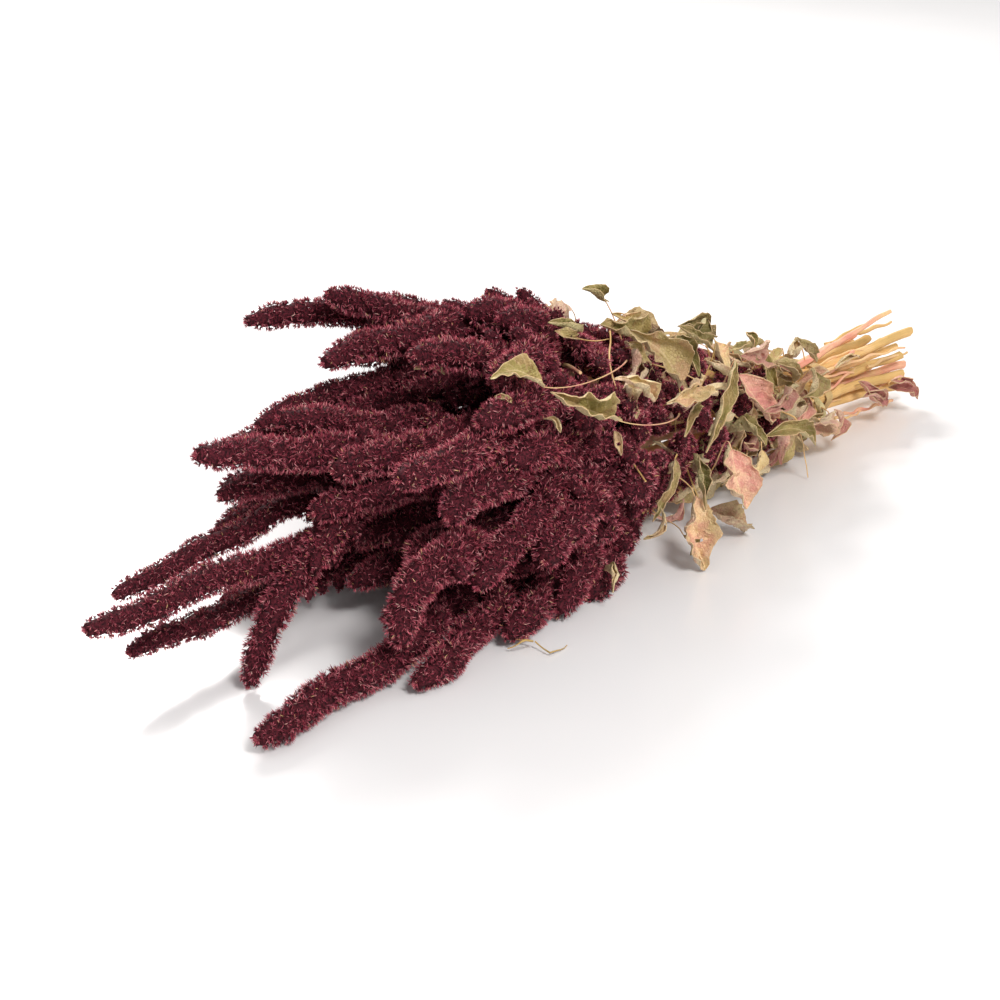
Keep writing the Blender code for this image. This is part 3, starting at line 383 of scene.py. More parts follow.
# Scraps of leaf caught on the bunch: base, tip, way the upper face looks, width, tone, roll. Millimetres.
SCRAPS = {
    "on_mid_low": ((-12, -48, 97), (-15, -40, 103), (-0.5, -1, 0.4), 6, 0.45, 2.0),
    "fleck_high": ((-36, -38, 116), (-41, -31, 119), (-0.5, -0.6, 1), 5, 0.4, 1.2),
    "fleck_side": ((36, -44, 84), (34, -50, 73), (-0.6, -1, 0.2), 7, 0.55, 1.5),
    "top_strip": ((60, -1, 119), (30, -6, 134), (-0.5, -0.4, 1), 9, 0.1, 2.2),
    "far_fleck": ((-38, 3, 122), (-52, 10, 127), (-0.5, -0.6, 1), 9, 0.2, 1.5),
    "low_curl": ((24, -48, 14), (8, -66, 12), (-0.4, -0.4, 1), 11, 0.35, 2.8),
    "over_edge": ((60, -56, 39), (50, -53, 24), (-0.7, -1, 0.2), 9, 0.4, 2.6),
    "broken": ((64, -36, 98), (48, -48, 88), (-0.5, -1, 0.6), 13, 0.5, 1.8),
    "cream_curl": ((59, -51, 95), (31, -47, 113), (-0.3, -1, 0.6), 13, 0.5, 2.2),
    "cream_knot": ((170, -19, 76), (144, -21, 90), (-0.4, -1, 0.6), 13, 0.5, 2.4),
    "dark_fold": ((104, -44, 53), (87, -65, 32), (-0.4, -1, 0.5), 11, 0.1, 2.2),
    "sheath": ((302, -4, 42), (322, -8, 46), (-0.3, -1, 0.6), 8, 0.45, 2.4),
    "sheath_low": ((318, -14, 22), (336, -18, 18), (-0.3, -1, 0.4), 9, 0.9, 2.0),
    "sheath_end": ((346, -16, 26), (366, -18, 18), (-0.3, -1, 0.4), 10, 0.95, 2.2),
    "sheath_foot": ((284, -16, 24), (266, -26, 12), (-0.3, -1, 0.3), 10, 0.85, 2.0),
}
SCRAP_ROOT_BACK = 9 * MM
SCRAP_FOLD, SCRAP_ARCH = 20, 2 * MM

# Loose twigs: points from end to end, radius and tone. Millimetres.
TWIGS = {
    "red_stub": (((58, 8, 103), (44, -10, 108), (30, -27, 112)), 1.2, 1.0),
    "thin_tan": (((70, -14, 122), (60, -22, 108), (52, -32, 100)), 0.5, 0.5),
    "green_end": (((52, -38, 62), (44, -50, 66), (36, -64, 62)), 0.6, 0.0),
    "floor_curl": (((-50, -52, 3), (-48, -62, 4), (-57, -63, 7), (-59, -54, 2)), 0.5, 0.0),
    "floor_curl_side": (((-48, -62, 4), (-50, -74, 1), (-36, -72, 1)), 0.4, 0.0),
    "hanging_stalk": (((214, -16, 46), (211, -38, 42), (224, -35, 20), (231, -34, 1)), 0.4, 0.6),
    "pink_top": (((280, 12, 42), (312, 2, 54), (344, -14, 70)), 1.9, 1.0),
    "thin_top": (((296, 2, 40), (328, -10, 44), (353, -20, 46)), 0.9, 0.8),
    "low_pink": (((262, -8, 18), (316, -8, 12), (360, -10, 8)), 1.1, 0.95),
    "low_tan": (((256, -12, 24), (300, -14, 14), (338, -6, 8)), 0.9, 0.7),
}

# Dry stalks among the cut ends
STUBS = 26
STUB_REACH = (262 * MM, 388 * MM)
STUB_LENGTH = (24 * MM, 62 * MM)
STUB_RADIUS = (0.6 * MM, 1.4 * MM)
STUB_SPLAY = 0.09
STUB_DEPTH = 1 * MM
STUB_LOWEST = 2 * MM
STUB_POINTS = 8
STUB_LEAN, STUB_SLANT = (-0.04, 0.16), (-0.14, 0.14)
STUB_BOW, STUB_SWAY = (-0.5, 2), (-2, 2)

# Form of every twig and dry stalk
TWIG_STEP = 3 * MM
TWIG_TAPER = (1.1, 0.7)
TWIG_WAVES = (0.4, 1.2)
TWIG_CROOK, TWIG_KNOBS = 0.3, 0.1
TWIG_SIDES = 6

# Camera, floor and light
CAMERA_AZIMUTH, CAMERA_ELEVATION = -50, 21
CAMERA_DISTANCE = 1.255
CAMERA_TARGET = np.array([0, 0, 0.047])
CAMERA_LENS = 90
FLOOR_SIZE, FLOOR_HEIGHT = 12, -0.4 * MM
WORLD_STRENGTH = 0.58
# Lights: name, azimuth and elevation in degrees, distance and size in metres, power, colour
LIGHTS = [
    ("back", 150, 34, 1.8, 0.6, 30, (1, 0.98, 0.96)),
    ("front", -27, 42, 2.0, 0.45, 27, (1, 0.99, 0.98)),
]


# Curves

def mm(values):
    return MM * np.array(values, float)


def unit(vector):
    return vector / np.linalg.norm(vector)


def unit_rows(vectors):
    return vectors / np.linalg.norm(vectors, axis=-1, keepdims=True)


def distances(first, second):
    """Distance from each point of the first set to each point of the second."""
    return np.linalg.norm(first[:, None] - second[None], axis=2)


def stepped(number):
    """Share of a turn for the number-th piece, spread evenly by the golden angle."""
    return (number * GOLDEN_SHARE) % 1


def reaches(points):
    """Length along a line up to each of its points."""
    return np.concatenate([[0], np.cumsum(np.linalg.norm(np.diff(points, axis=0), axis=1))])


def read_off(places, known, points):
    """Points at some places of a line whose own points stand at the known places."""
    return np.stack([np.interp(places, known, column) for column in points.T], axis=1)


def point_at(line, x):
    """The line's point that is nearest to one x."""
    return line[np.argmin(abs(line[:, 0] - x))]


def along(points, share):
    """Point and direction at a share of the length of a line of evenly spaced points."""
    place = share * (len(points) - 1)
    low = min(int(place), len(points) - 2)
    step = points[low + 1] - points[low]
    return points[low] + step * (place - low), unit(step)


def hermite(start, start_pull, end, end_pull, count):
    """Smooth curve between two points, leaving and arriving along the two pulls."""
    s = np.linspace(0, 1, count)[:, None]
    return (
        (2 * s**3 - 3 * s**2 + 1) * start
        + (s**3 - 2 * s**2 + s) * start_pull
        + (3 * s**2 - 2 * s**3) * end
        + (s**3 - s**2) * end_pull
    )


def even(points, step):
    """The same line with points about a step apart."""
    reach = reaches(points)
    count = max(4, round(reach[-1] / step) + 1)
    return read_off(np.linspace(0, reach[-1], count), reach, points)


# Stems

def tie_slots():
    """Places of the stems round the tie's centre: the heads' arrangement, drawn tight."""
    places = mm([HEADS[name][0] for name in NAMES])
    slots = (places - places.mean(axis=0)) * GATHER_START
    for turn in range(GATHER_TURNS):
        if turn < PULLED_TURNS:
            slots = slots * GATHER_PULL
        apart = slots[:, None] - slots[None]
        distance = np.linalg.norm(apart, axis=2) + np.eye(len(slots))
        short = np.clip(STEM_PITCH - distance, 0, None) / distance
        slots = slots + 0.5 * (short[..., None] * apart).sum(axis=1)
    return slots


def shoulder_share(x):
    """How far the bunch has opened between the tie (0) and the shoulder (1)."""
    return (np.clip(TIE_X - x, 0, None) / (TIE_X - SHOULDER_X)) ** OPENING


def stem_point(head, x, slots):
    """Centre of a stem at one x: splayed at the cut end, drawn in at the tie, opening to its head."""
    slot = slots[NAMES.index(head)]
    tie = TIE_CENTRE + slot
    if x <= TIE_X:
        share = shoulder_share(x)
        other = mm(HEADS[head][0])
    else:
        share = ((x - TIE_X) / (CUT_X - TIE_X)) ** OPENING
        other = CUT_CENTRE + slot * CUT_SPLAY
    y, z = tie + (other - tie) * share
    return np.array([x, y, z])


def stem_line(head, slots):
    """Centre line of a stem, from its cut end to the foot of its head."""
    draw = random.Random(f"stem {head}")
    first = CUT_X + draw.uniform(-26, 4) * MM
    last = HEADS[head][1] * MM
    stations = np.linspace(first, last, max(4, round((first - last) / NODE_STEP) + 1))
    return np.array([stem_point(head, x, slots) for x in stations])


# Heads of spikes

def spike_line(start, ahead, tip, arch, nod):
    """Centre line of a spike: it leaves along its parent, arches, and its last part may nod down."""
    span = np.linalg.norm(tip - start)
    pull = span * LINE_PULL
    line = hermite(start, ahead * pull, tip, unit(tip - start) * pull, LINE_POINTS)
    s = np.linspace(0, 1, len(line))
    droop = np.clip((s - NOD_START) / (1 - NOD_START), 0, 1) ** 2
    line[:, 2] += arch * np.sin(math.pi * s) + nod * (1 - droop) * s
    return even(line, NODE_STEP)


def spike_radii(count, radius):
    """Outer radii along a spike: full at its foot, slimmer to a blunt tip."""
    s = np.linspace(0, 1, count)
    return radius * np.interp(s, *SPIKE_PROFILE)


def head_spikes(head, slots):
    """Spikes of one head before they settle."""
    _, first, spikes = HEADS[head]
    foot = stem_point(head, first * MM, slots)
    ahead = unit(stem_point(head, (first - 10) * MM, slots) - foot)
    made = []
    for share, tip, arch, nod, girth in spikes:
        start, way = along(made[0][0], share) if made else (foot + ahead * FACE_GAP, ahead)
        line = spike_line(start, way, mm(tip), arch * MM, nod * MM)
        seat = round(share * (len(made[0][0]) - 1)) if made else -1
        made.append((line, spike_radii(len(line), SPIKE_RADIUS * girth), seat))
    return made


class Crowd:
    """The points of every spike in one set of arrays, pushed apart until no two heads touch."""

    def __init__(self, spikes, stems):
        self.point = np.concatenate([line for _, line, _, _ in spikes])
        self.radius = np.concatenate([radii for _, _, radii, _ in spikes])
        sizes = [len(line) for _, line, _, _ in spikes]
        self.find_seats([seat for *_, seat in spikes], sizes)
        self.head = np.repeat([NAMES.index(spike[0]) for spike in spikes], sizes)
        self.chain = np.repeat(np.arange(len(spikes)), sizes)
        self.order = np.concatenate([np.arange(size) for size in sizes])
        self.free = np.ones(len(self.point))
        self.free[self.main] = 0
        self.free[self.main + 1] = 0
        self.stem = np.concatenate(list(stems.values()))
        self.stem_head = np.repeat(np.arange(len(NAMES)), [len(stems[name]) for name in NAMES])
        self.rest = self.point.copy()
        same = self.chain[:-1] == self.chain[1:]
        self.link = np.nonzero(same)[0]
        self.link_length = np.linalg.norm(self.point[self.link + 1] - self.point[self.link], axis=1)
        self.inside = np.nonzero(same[:-1] & same[1:])[0] + 1
        self.curve = self.bow()

    def find_seats(self, seats, sizes):
        """First points of the main spikes, and of the side spikes with the point each one grows from."""
        starts = np.cumsum([0, *sizes[:-1]])
        side = [number for number, seat in enumerate(seats) if seat >= 0]
        self.main = np.array([starts[number] for number, seat in enumerate(seats) if seat < 0])
        self.side = starts[side]
        parent = np.array([self.main[self.main < start].max() for start in self.side])
        self.seat = parent + np.array(seats)[side]

    def bow(self):
        """How far each inner point stands off the middle of its neighbours."""
        return self.point[self.inside] - (self.point[self.inside - 1] + self.point[self.inside + 1]) / 2

    def find_pairs(self):
        """Spike points near another spike's, and near a stem of another head."""
        a, b = np.nonzero(np.triu(distances(self.point, self.point) < PAIR_REACH, 1))
        same_head = self.head[a] == self.head[b]
        neighbours = (self.chain[a] == self.chain[b]) & (b - a < 4)
        joined = same_head & ((self.order[a] < 4) | (self.order[b] < 4))
        keep = ~(neighbours | joined)
        self.pair = a[keep], b[keep]
        self.pair_same = same_head[keep]
        near = distances(self.point, self.stem) < STEM_REACH
        self.stem_pair = np.nonzero(near & (self.head[:, None] != self.stem_head[None]))

    def hold_shape(self):
        """Draws each spike back to its length, its curve and, weakly, its first place."""
        free = self.free[:, None]
        self.point += HOME_PULL * (self.rest - self.point) * free
        first, second = self.link, self.link + 1
        for _ in range(2):
            step = self.point[second] - self.point[first]
            length = np.linalg.norm(step, axis=1)
            pull = 0.5 * step * (1 - self.link_length / length)[:, None]
            np.add.at(self.point, first, pull * free[first])
            np.add.at(self.point, second, -pull * free[second])
        bent = self.bow() - self.curve
        self.point[self.inside] -= BEND_HOLD * bent * free[self.inside]

    def part(self, last):
        """Pushes touching points apart, off the stems and off the surface below."""
        a, b = self.pair
        reach = self.radius[a] + self.radius[b]
        need = np.where(self.pair_same, 0.0 if last else reach, reach + HEAD_GAP)
        self.push([(a, -1), (b, 1)], self.point[b] - self.point[a], need)
        a, s = self.stem_pair
        need = self.radius[a] + STEM_RADIUS + HEAD_GAP
        self.push([(a, 1)], self.point[a] - self.stem[s], need)
        lowest = PRESSED * self.radius
        low = (self.point[:, 2] < lowest) & (self.free > 0)
        self.point[low, 2] = lowest[low]

    def push(self, ends, away, need):
        """Shares what each way is short of its needed length among the points at its ends."""
        distance = np.linalg.norm(away, axis=1) + TINY
        short = np.clip(need - distance, 0, None)
        step = away / distance[:, None] * short[:, None] / len(ends)
        total = np.zeros_like(self.point)
        hits = np.zeros(len(self.point))
        for points, sign in ends:
            np.add.at(total, points, sign * step)
            np.add.at(hits, points, short > 0)
        self.point += total / np.maximum(0.6 * hits, 1)[:, None] * self.free[:, None]

    def squeeze(self):
        """Slims what still touches another head or another head's stem."""
        reach = self.radius[:, None] + self.radius[None]
        share = (distances(self.point, self.point) - SQUEEZE_GAP) / reach
        share = np.where(self.head[:, None] != self.head[None], share, 1).min(axis=1)
        room = (distances(self.point, self.stem) - STEM_RADIUS - SQUEEZE_GAP) / self.radius[:, None]
        room = np.where(self.head[:, None] != self.stem_head[None], room, 1).min(axis=1)
        self.radius *= np.clip(np.minimum(share, room), SLIMMEST, 1)

    def settle(self):
        for turn in range(SETTLE_ROUNDS):
            last = turn >= SETTLE_ROUNDS - FREE_ROUNDS
            if turn % 10 == 0:
                self.find_pairs()
            if not last:
                self.hold_shape()
            self.part(last)
            self.part(last)
            self.point[self.side] = self.point[self.seat]
        self.squeeze()


# Leaves

@dataclass(frozen=True)
class Leaf:
    """A blade from base to tip, on a stalk from its root on a stem, rolled and hooked by some amount."""
    name: str
    base: np.ndarray
    tip: np.ndarray
    face: np.ndarray
    width: float
    fold: float
    arch: float
    tone: float
    roll: float = 0.01
    hook: float = 0.0
    stem: str = ""
    root: np.ndarray = None
    lift: np.ndarray = None

    def frame(self):
        ahead = unit(self.tip - self.base)
        up = unit(self.face - ahead * (self.face @ ahead))
        return ahead, np.cross(up, ahead), up


def blade_half_width(s):
    """Share of the half width along a blade: widest below the middle, with a drawn-out tip."""
    return 0.06 + 0.94 * s**0.75 * (1 - s) ** 0.95 / 0.313


def blade_points(leaf, s, t):
    """Points of the blade's middle surface, s from base to tip and t from edge (-1) to edge (1)."""
    draw = random.Random(f"blade {leaf.name}")
    twist = draw.uniform(*BLADE_TWIST) * (1 + leaf.roll)
    bend = draw.uniform(*BLADE_BEND) * (1 + leaf.roll)
    curl = draw.uniform(*BLADE_CURL)
    phase = draw.uniform(0, 2 * math.pi)
    s = np.asarray(s, float)[..., None]
    t = np.asarray(t, float)[..., None]
    _, side, up = leaf.frame()
    turn = twist * (s - 0.5)
    side_here = side * np.cos(turn) + up * np.sin(turn)
    up_here = up * np.cos(turn) - side * np.sin(turn)
    length = np.linalg.norm(leaf.tip - leaf.base)
    half = 0.5 * leaf.width * blade_half_width(s)
    fold = math.radians(leaf.fold)
    wave = BLADE_WAVE * np.sin(BLADE_WAVES * s + phase + BLADE_SHIFT * np.sign(t)) * np.abs(t)
    middle = leaf.base + (leaf.tip - leaf.base) * s
    middle = middle + up * leaf.arch * 4 * s * (1 - s) + side * bend * length * np.sin(math.pi * s)
    middle = middle + up * leaf.hook * length * s**3
    rise = np.abs(t) * math.sin(fold) + curl * t**2 * s + wave + (1 - np.cos(leaf.roll * t)) / leaf.roll
    across = np.sin(leaf.roll * t) / leaf.roll * math.cos(fold)
    points = middle + side_here * half * across + up_here * half * rise
    points[..., 2] = np.maximum(points[..., 2], BLADE_THICKNESS)
    return points


def stalk_line(leaf, count):
    """Centre line of a leaf's stalk, from inside its stem to the base of the blade."""
    ahead, _, _ = leaf.frame()
    span = np.linalg.norm(leaf.base - leaf.root)
    lean = unit(leaf.lift + STALK_LEAN)
    line = hermite(leaf.root, lean * span, leaf.base, ahead * span * STALK_ARRIVAL, count)
    line[:, 2] = np.maximum(line[:, 2], PETIOLE_RADIUS)
    return line


def stalk_corners(leaf):
    """Points of the stalk's faceted form, from its root to the base of the blade."""
    line = stalk_line(leaf, STALK_POINTS)
    long = np.linalg.norm(leaf.base - leaf.root) > LONG_STALK
    shares = LONG_STALK_STATIONS if long else STALK_STATIONS
    return line[[round(share * (STALK_POINTS - 1)) for share in shares]]


def leaf_samples(leaf):
    """Points over the blade, and along the stalk outside its stem, both smooth and faceted."""
    length = np.linalg.norm(leaf.tip - leaf.base)
    rows = max(7, round(length / SAMPLE_STEP))
    columns = max(5, round(leaf.width / SAMPLE_STEP) | 1)
    s, t = np.meshgrid(np.linspace(0, 1, rows), np.linspace(-1, 1, columns))
    blade = blade_points(leaf, s.ravel(), t.ravel())
    corners = stalk_corners(leaf)
    faceted = [start + (end - start) * share for start, end in zip(corners, corners[1:])
               for share in np.linspace(0, 1, STALK_SAMPLES)]
    stalk = np.concatenate([stalk_line(leaf, STALK_POINTS), faceted])
    outside = np.linalg.norm(stalk - leaf.root, axis=1) > STEM_RADIUS + 1 * MM
    return blade, stalk[outside]


def touched(points, cloud, room):
    """Which points lie within room of the cloud, whose points may each ask for a different room."""
    room = np.broadcast_to(room, len(cloud))
    widest = room.max(initial=0)
    near = ((cloud > points.min(axis=0) - widest) & (cloud < points.max(axis=0) + widest)).all(axis=1)
    return (distances(points, cloud[near]) < room[near]).any(axis=1)


def middle_of_bunch(x):
    """Middle (y, z) of the bunch at one x."""
    return TIE_CENTRE + (SHOULDER_CENTRE - TIE_CENTRE) * shoulder_share(x)


class Foliage:
    """Places leaves one by one, each clear of the spikes, the other stems and the leaves before it."""

    def __init__(self, stems, spikes):
        self.stems = stems
        self.solid = np.concatenate([line for _, line, _ in spikes])
        self.solid_radius = np.concatenate([radii for _, _, radii in spikes])
        self.stem = np.concatenate(list(stems.values()))
        self.stem_name = np.repeat(list(stems), [len(line) for line in stems.values()])
        self.leaf = np.zeros((0, 3))
        self.placed = []

    def clear(self, leaf):
        blade, stalk = leaf_samples(leaf)
        points = np.concatenate([blade, stalk])
        room = BLADE_GAP + PETIOLE_RADIUS
        others = self.stem[self.stem_name != leaf.stem]
        return not (
            touched(points, self.solid, self.solid_radius + room).any()
            or touched(blade, self.stem, STEM_RADIUS + room).any()
            or touched(stalk, others, STEM_RADIUS + room).any()
            or (abs(points[:, 0] - TIE_X) < TIE_HALF_WIDTH + TIE_ROOM).any()
            or touched(points, self.leaf, LEAF_SPACING).any())

    def tries(self, leaf):
        """The leaf on each likely stem, moved further and further out of the bunch."""
        away = unit(np.concatenate([[0], leaf.base[1:] - middle_of_bunch(leaf.base[0])]))
        cut_room, head_room = STEM_END_ROOM
        for lift in LIFTS:
            shift = away * lift * MM
            moved = replace(leaf, base=leaf.base + shift, tip=leaf.tip + shift, lift=away)
            for back in ROOTS_BACK:
                x = max(leaf.base[0], FIRST_ROOT_X) + back * MM
                for name in self.outer_stems(moved.base, x):
                    line = self.stems[name]
                    if line[-1, 0] + head_room < x < line[0, 0] - cut_room:
                        yield replace(moved, stem=name, root=point_at(line, x))

    def outer_stems(self, place, x):
        """The stems at x that are nearest to a place."""
        gaps = {
            name: np.linalg.norm(point_at(line, x)[1:] - place[1:]) for name, line in self.stems.items()}
        return sorted(gaps, key=gaps.get)[:NEAREST_STEMS]

    def crowded(self, leaf):
        """Share of a small leaf's points that are too near to a spike, a stem, another leaf or the tie."""
        blade, _ = leaf_samples(leaf)
        near = touched(blade, self.solid, self.solid_radius * SMALL_SINK)
        near |= touched(blade, self.stem, STEM_RADIUS + SMALL_STEM_ROOM)
        near |= touched(blade, self.leaf, SMALL_SPACING)
        near |= abs(blade[:, 0] - TIE_X) < TIE_HALF_WIDTH + SMALL_TIE_ROOM
        return near.mean()

    def place_small(self, leaf, away):
        """The small leaf where it touches least, of a few places further and further out."""
        options = []
        for lift in SMALL_LIFTS:
            shift = away * lift * MM
            moved = replace(leaf, base=leaf.base + shift, tip=leaf.tip + shift, lift=away)
            x = moved.base[0] + ROOT_BACK
            name = self.outer_stems(moved.base, x)[0]
            moved = replace(moved, stem=name, root=point_at(self.stems[name], x))
            options.append((self.crowded(moved) + SMALL_LIFT_COST * lift, moved))
        _, best = min(options, key=lambda option: option[0])
        self.placed.append(best)
        self.leaf = np.concatenate([self.leaf, leaf_samples(best)[0]])

    def place(self, leaf):
        for option in self.tries(leaf):
            if self.clear(option):
                self.placed.append(option)
                self.leaf = np.concatenate([self.leaf, *leaf_samples(option)])
                return


def hand_leaf(name):
    base, tip, face, width, fold, arch, tone = LEAVES[name]
    return Leaf(name, mm(base), mm(tip), np.array(face, float), width * MM, fold, arch * MM, tone)


def rule_leaf(number):
    """A leaf of the far side and the top, its place stepped round by the golden angle."""
    draw = random.Random(f"rule leaf {number}")
    share = (number + 0.5) / RULE_LEAVES
    x = RULE_REACH[0] + (RULE_REACH[1] - RULE_REACH[0]) * share
    low, high = RULE_ARC
    turn = math.radians(low + (high - low) * stepped(number))
    away = np.array([0, math.cos(turn), math.sin(turn)])
    across = np.cross((1, 0, 0), away)
    at_tie, added = RULE_RING
    radius = (at_tie + added * shoulder_share(x)) * MM
    base = np.array([x, *middle_of_bunch(x)]) + away * radius
    base[2] = max(base[2], RULE_LOWEST)
    length = draw.uniform(*RULE_LENGTH) * MM
    way = unit(np.array([-1, 0, 0]) + away * draw.uniform(*RULE_LEAN) + across * draw.uniform(*RULE_SLANT))
    width, fold, arch, tone = [draw.uniform(*span) for span in RULE_SHAPE]
    face = away + np.array([-0.3, 0, 0.2])
    return Leaf(f"rule_{number:02d}", base, base + way * length, face, width * MM, fold, arch * MM, tone)


def small_turn(number):
    """Angle round the bunch of the number-th small leaf or tuft."""
    low, high = SMALL_ARC
    return math.radians(low + (high - low) * stepped(number))


def small_leaf(number):
    """A small curled leaf close to the stems, and the way out of the bunch from there."""
    draw = random.Random(f"small leaf {number}")
    low, high = SMALL_REACH
    x = low + (high - low) * ((number + 0.5) / SMALL_LEAVES) ** SMALL_BIAS
    base, away = round_the_bunch(x, small_turn(number), draw.uniform(*SMALL_DEPTH) * MM)
    base[2] = max(base[2], SMALL_LOWEST)
    across = np.cross((1, 0, 0), away)
    length = draw.uniform(*SMALL_LENGTH) * MM
    way = unit(SMALL_WAY + away * draw.uniform(*SMALL_LEAN) + across * draw.uniform(*SMALL_SLANT))
    tone = draw.choice(SMALL_TONES) + draw.uniform(-0.05, 0.05)
    face = away + np.array([draw.uniform(*span) for span in SMALL_FACE])
    width, fold, arch, roll, hook = [draw.uniform(*span) for span in SMALL_SHAPE]
    leaf = Leaf(
        f"small_{number:03d}", base, base + way * length, face, width * length, fold, arch * MM, tone,
        roll, hook)
    return leaf, away


def scrap_leaf(name):
    """A piece of leaf without a stalk, caught on the bunch. It goes with the near stem."""
    base, tip, face, width, tone, roll = SCRAPS[name]
    base, tip, face = mm(base), mm(tip), np.array(face, float)
    root = base - unit(tip - base) * SCRAP_ROOT_BACK
    leaf = Leaf(f"small_{name}", base, tip, face, width * MM, SCRAP_FOLD, SCRAP_ARCH, tone, roll)
    return replace(leaf, stem="near", root=root, lift=np.array([0, 0, 1]))


def plan_bunch():
    """Stem lines by head, settled spikes as (head, line, radii), and the leaves."""
    slots = tie_slots()
    stems = {name: stem_line(name, slots) for name in NAMES}
    spikes = [(name, *spike) for name in NAMES for spike in head_spikes(name, slots)]
    crowd = Crowd(spikes, stems)
    crowd.settle()
    cuts = np.cumsum([len(line) for _, line, _, _ in spikes])[:-1]
    lines = np.split(crowd.point, cuts)
    widths = np.split(crowd.radius, cuts)
    spikes = [(spike[0], line, width) for spike, line, width in zip(spikes, lines, widths)]
    foliage = Foliage(stems, spikes)
    for name in LEAVES:
        foliage.place(hand_leaf(name))
    for number in range(RULE_LEAVES):
        foliage.place(rule_leaf(number))
    for number in range(SMALL_LEAVES):
        foliage.place_small(*small_leaf(number))
    foliage.placed += [scrap_leaf(name) for name in SCRAPS]
    return stems, spikes, foliage


def tie_outline():
    """Points (y, z) of the tie's inner face: drawn straight from stem to stem round the outside."""
    slots = tie_slots()
    reach = STEM_RADIUS + TIE_CLEARANCE
    outline = []
    for side in range(TIE_SIDES):
        turn = 2 * math.pi * side / TIE_SIDES
        way = np.array([math.cos(turn), math.sin(turn)])
        across = np.array([-way[1], way[0]])
        furthest = max((slot @ way, slot @ across) for slot in slots)
        outline.append(TIE_CENTRE + way * (furthest[0] + reach) + across * furthest[1])
    return np.array(outline)


# The finer forms

def fine_line(line, radii):
    """Points and radii FINE_STEP apart, on a smooth curve through a settled spike's points."""
    pull = np.gradient(line, axis=0)
    count = round(NODE_STEP / FINE_STEP)
    parts = [hermite(*ends, count + 1)[:-1] for ends in zip(line, pull, line[1:], pull[1:])]
    points = np.concatenate([*parts, line[-1:]])
    widths = np.interp(np.arange(len(points)) / count, np.arange(len(line)), radii)
    return points, widths


def wander(points, rng):
    """The line swayed a little from side to side, but not at its foot."""
    _, side, up = carried_frames(points)
    reach = np.arange(len(points)) * FINE_STEP
    grow = np.clip(reach / WANDER_START, 0, 1)
    moved = points.copy()
    for way in (side, WANDER_UP * up):
        size = rng.uniform(*WANDER_SIZE)
        turns = reach / rng.uniform(*WANDER_PERIOD) + rng.random()
        moved += way * (size * np.sin(2 * math.pi * turns) * grow)[:, None]
    return moved


def carried_frames(line):
    """Directions along and across the line at each point, carried along it without twist."""
    ahead = unit_rows(np.gradient(line, axis=0))
    side = unit(np.cross((0, 0, 1), ahead[0]) + np.array([0, 1e-4, 0]))
    sides = []
    for way in ahead:
        side = unit(side - way * (side @ way))
        sides.append(side)
    sides = np.array(sides)
    return ahead, sides, np.cross(ahead, sides)


def fill(data, field, values, kind):
    """Writes all the values of one field of a mesh."""
    data.foreach_set(field, np.asarray(values).astype(kind).ravel())


class Gathering:
    """Triangles of one piece, gathered part by part, with a mark and a seed at each vertex."""

    def __init__(self):
        self.points, self.marks, self.seeds, self.faces, self.finishes = [], [], [], [], []
        self.count = 0

    def add(self, points, faces, marks, finish=0, seed=0.0):
        self.points.append(points)
        self.marks.append(marks)
        self.seeds.append(np.full(len(points), seed))
        self.faces.append(faces + self.count)
        self.finishes.append(np.full(len(faces), finish))
        self.count += len(points)

    def piece(self, name, shift, materials):
        """A mesh object of all the parts, moved to the frame and kept above the surface."""
        points = np.concatenate(self.points) + shift
        points[:, 2] = np.maximum(points[:, 2], LOWEST)
        faces = np.concatenate(self.faces)
        mesh = bpy.data.meshes.new(name)
        mesh.vertices.add(len(points))
        mesh.loops.add(faces.size)
        mesh.polygons.add(len(faces))
        fill(mesh.vertices, "co", points, np.float32)
        fill(mesh.loops, "vertex_index", faces, np.int32)
        fill(mesh.polygons, "loop_start", np.arange(0, faces.size, 3), np.int32)
        for material in materials:
            mesh.materials.append(material)
        fill(mesh.polygons, "material_index", np.concatenate(self.finishes), np.int32)
        mesh.update(calc_edges=True)
        for label, kind, field, values in (("mark", "FLOAT_VECTOR", "vector", self.marks),
                                           ("seed", "FLOAT", "value", self.seeds)):
            attribute = mesh.attributes.new(label, kind, "POINT")
            fill(attribute.data, field, np.concatenate(values), np.float32)
        mesh.shade_smooth()
        mesh.set_sharp_from_angle(angle=SHARP_ANGLE)
        made = bpy.data.objects.new(name, mesh)
        bpy.context.scene.collection.objects.link(made)
        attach(made, "root")
        return made


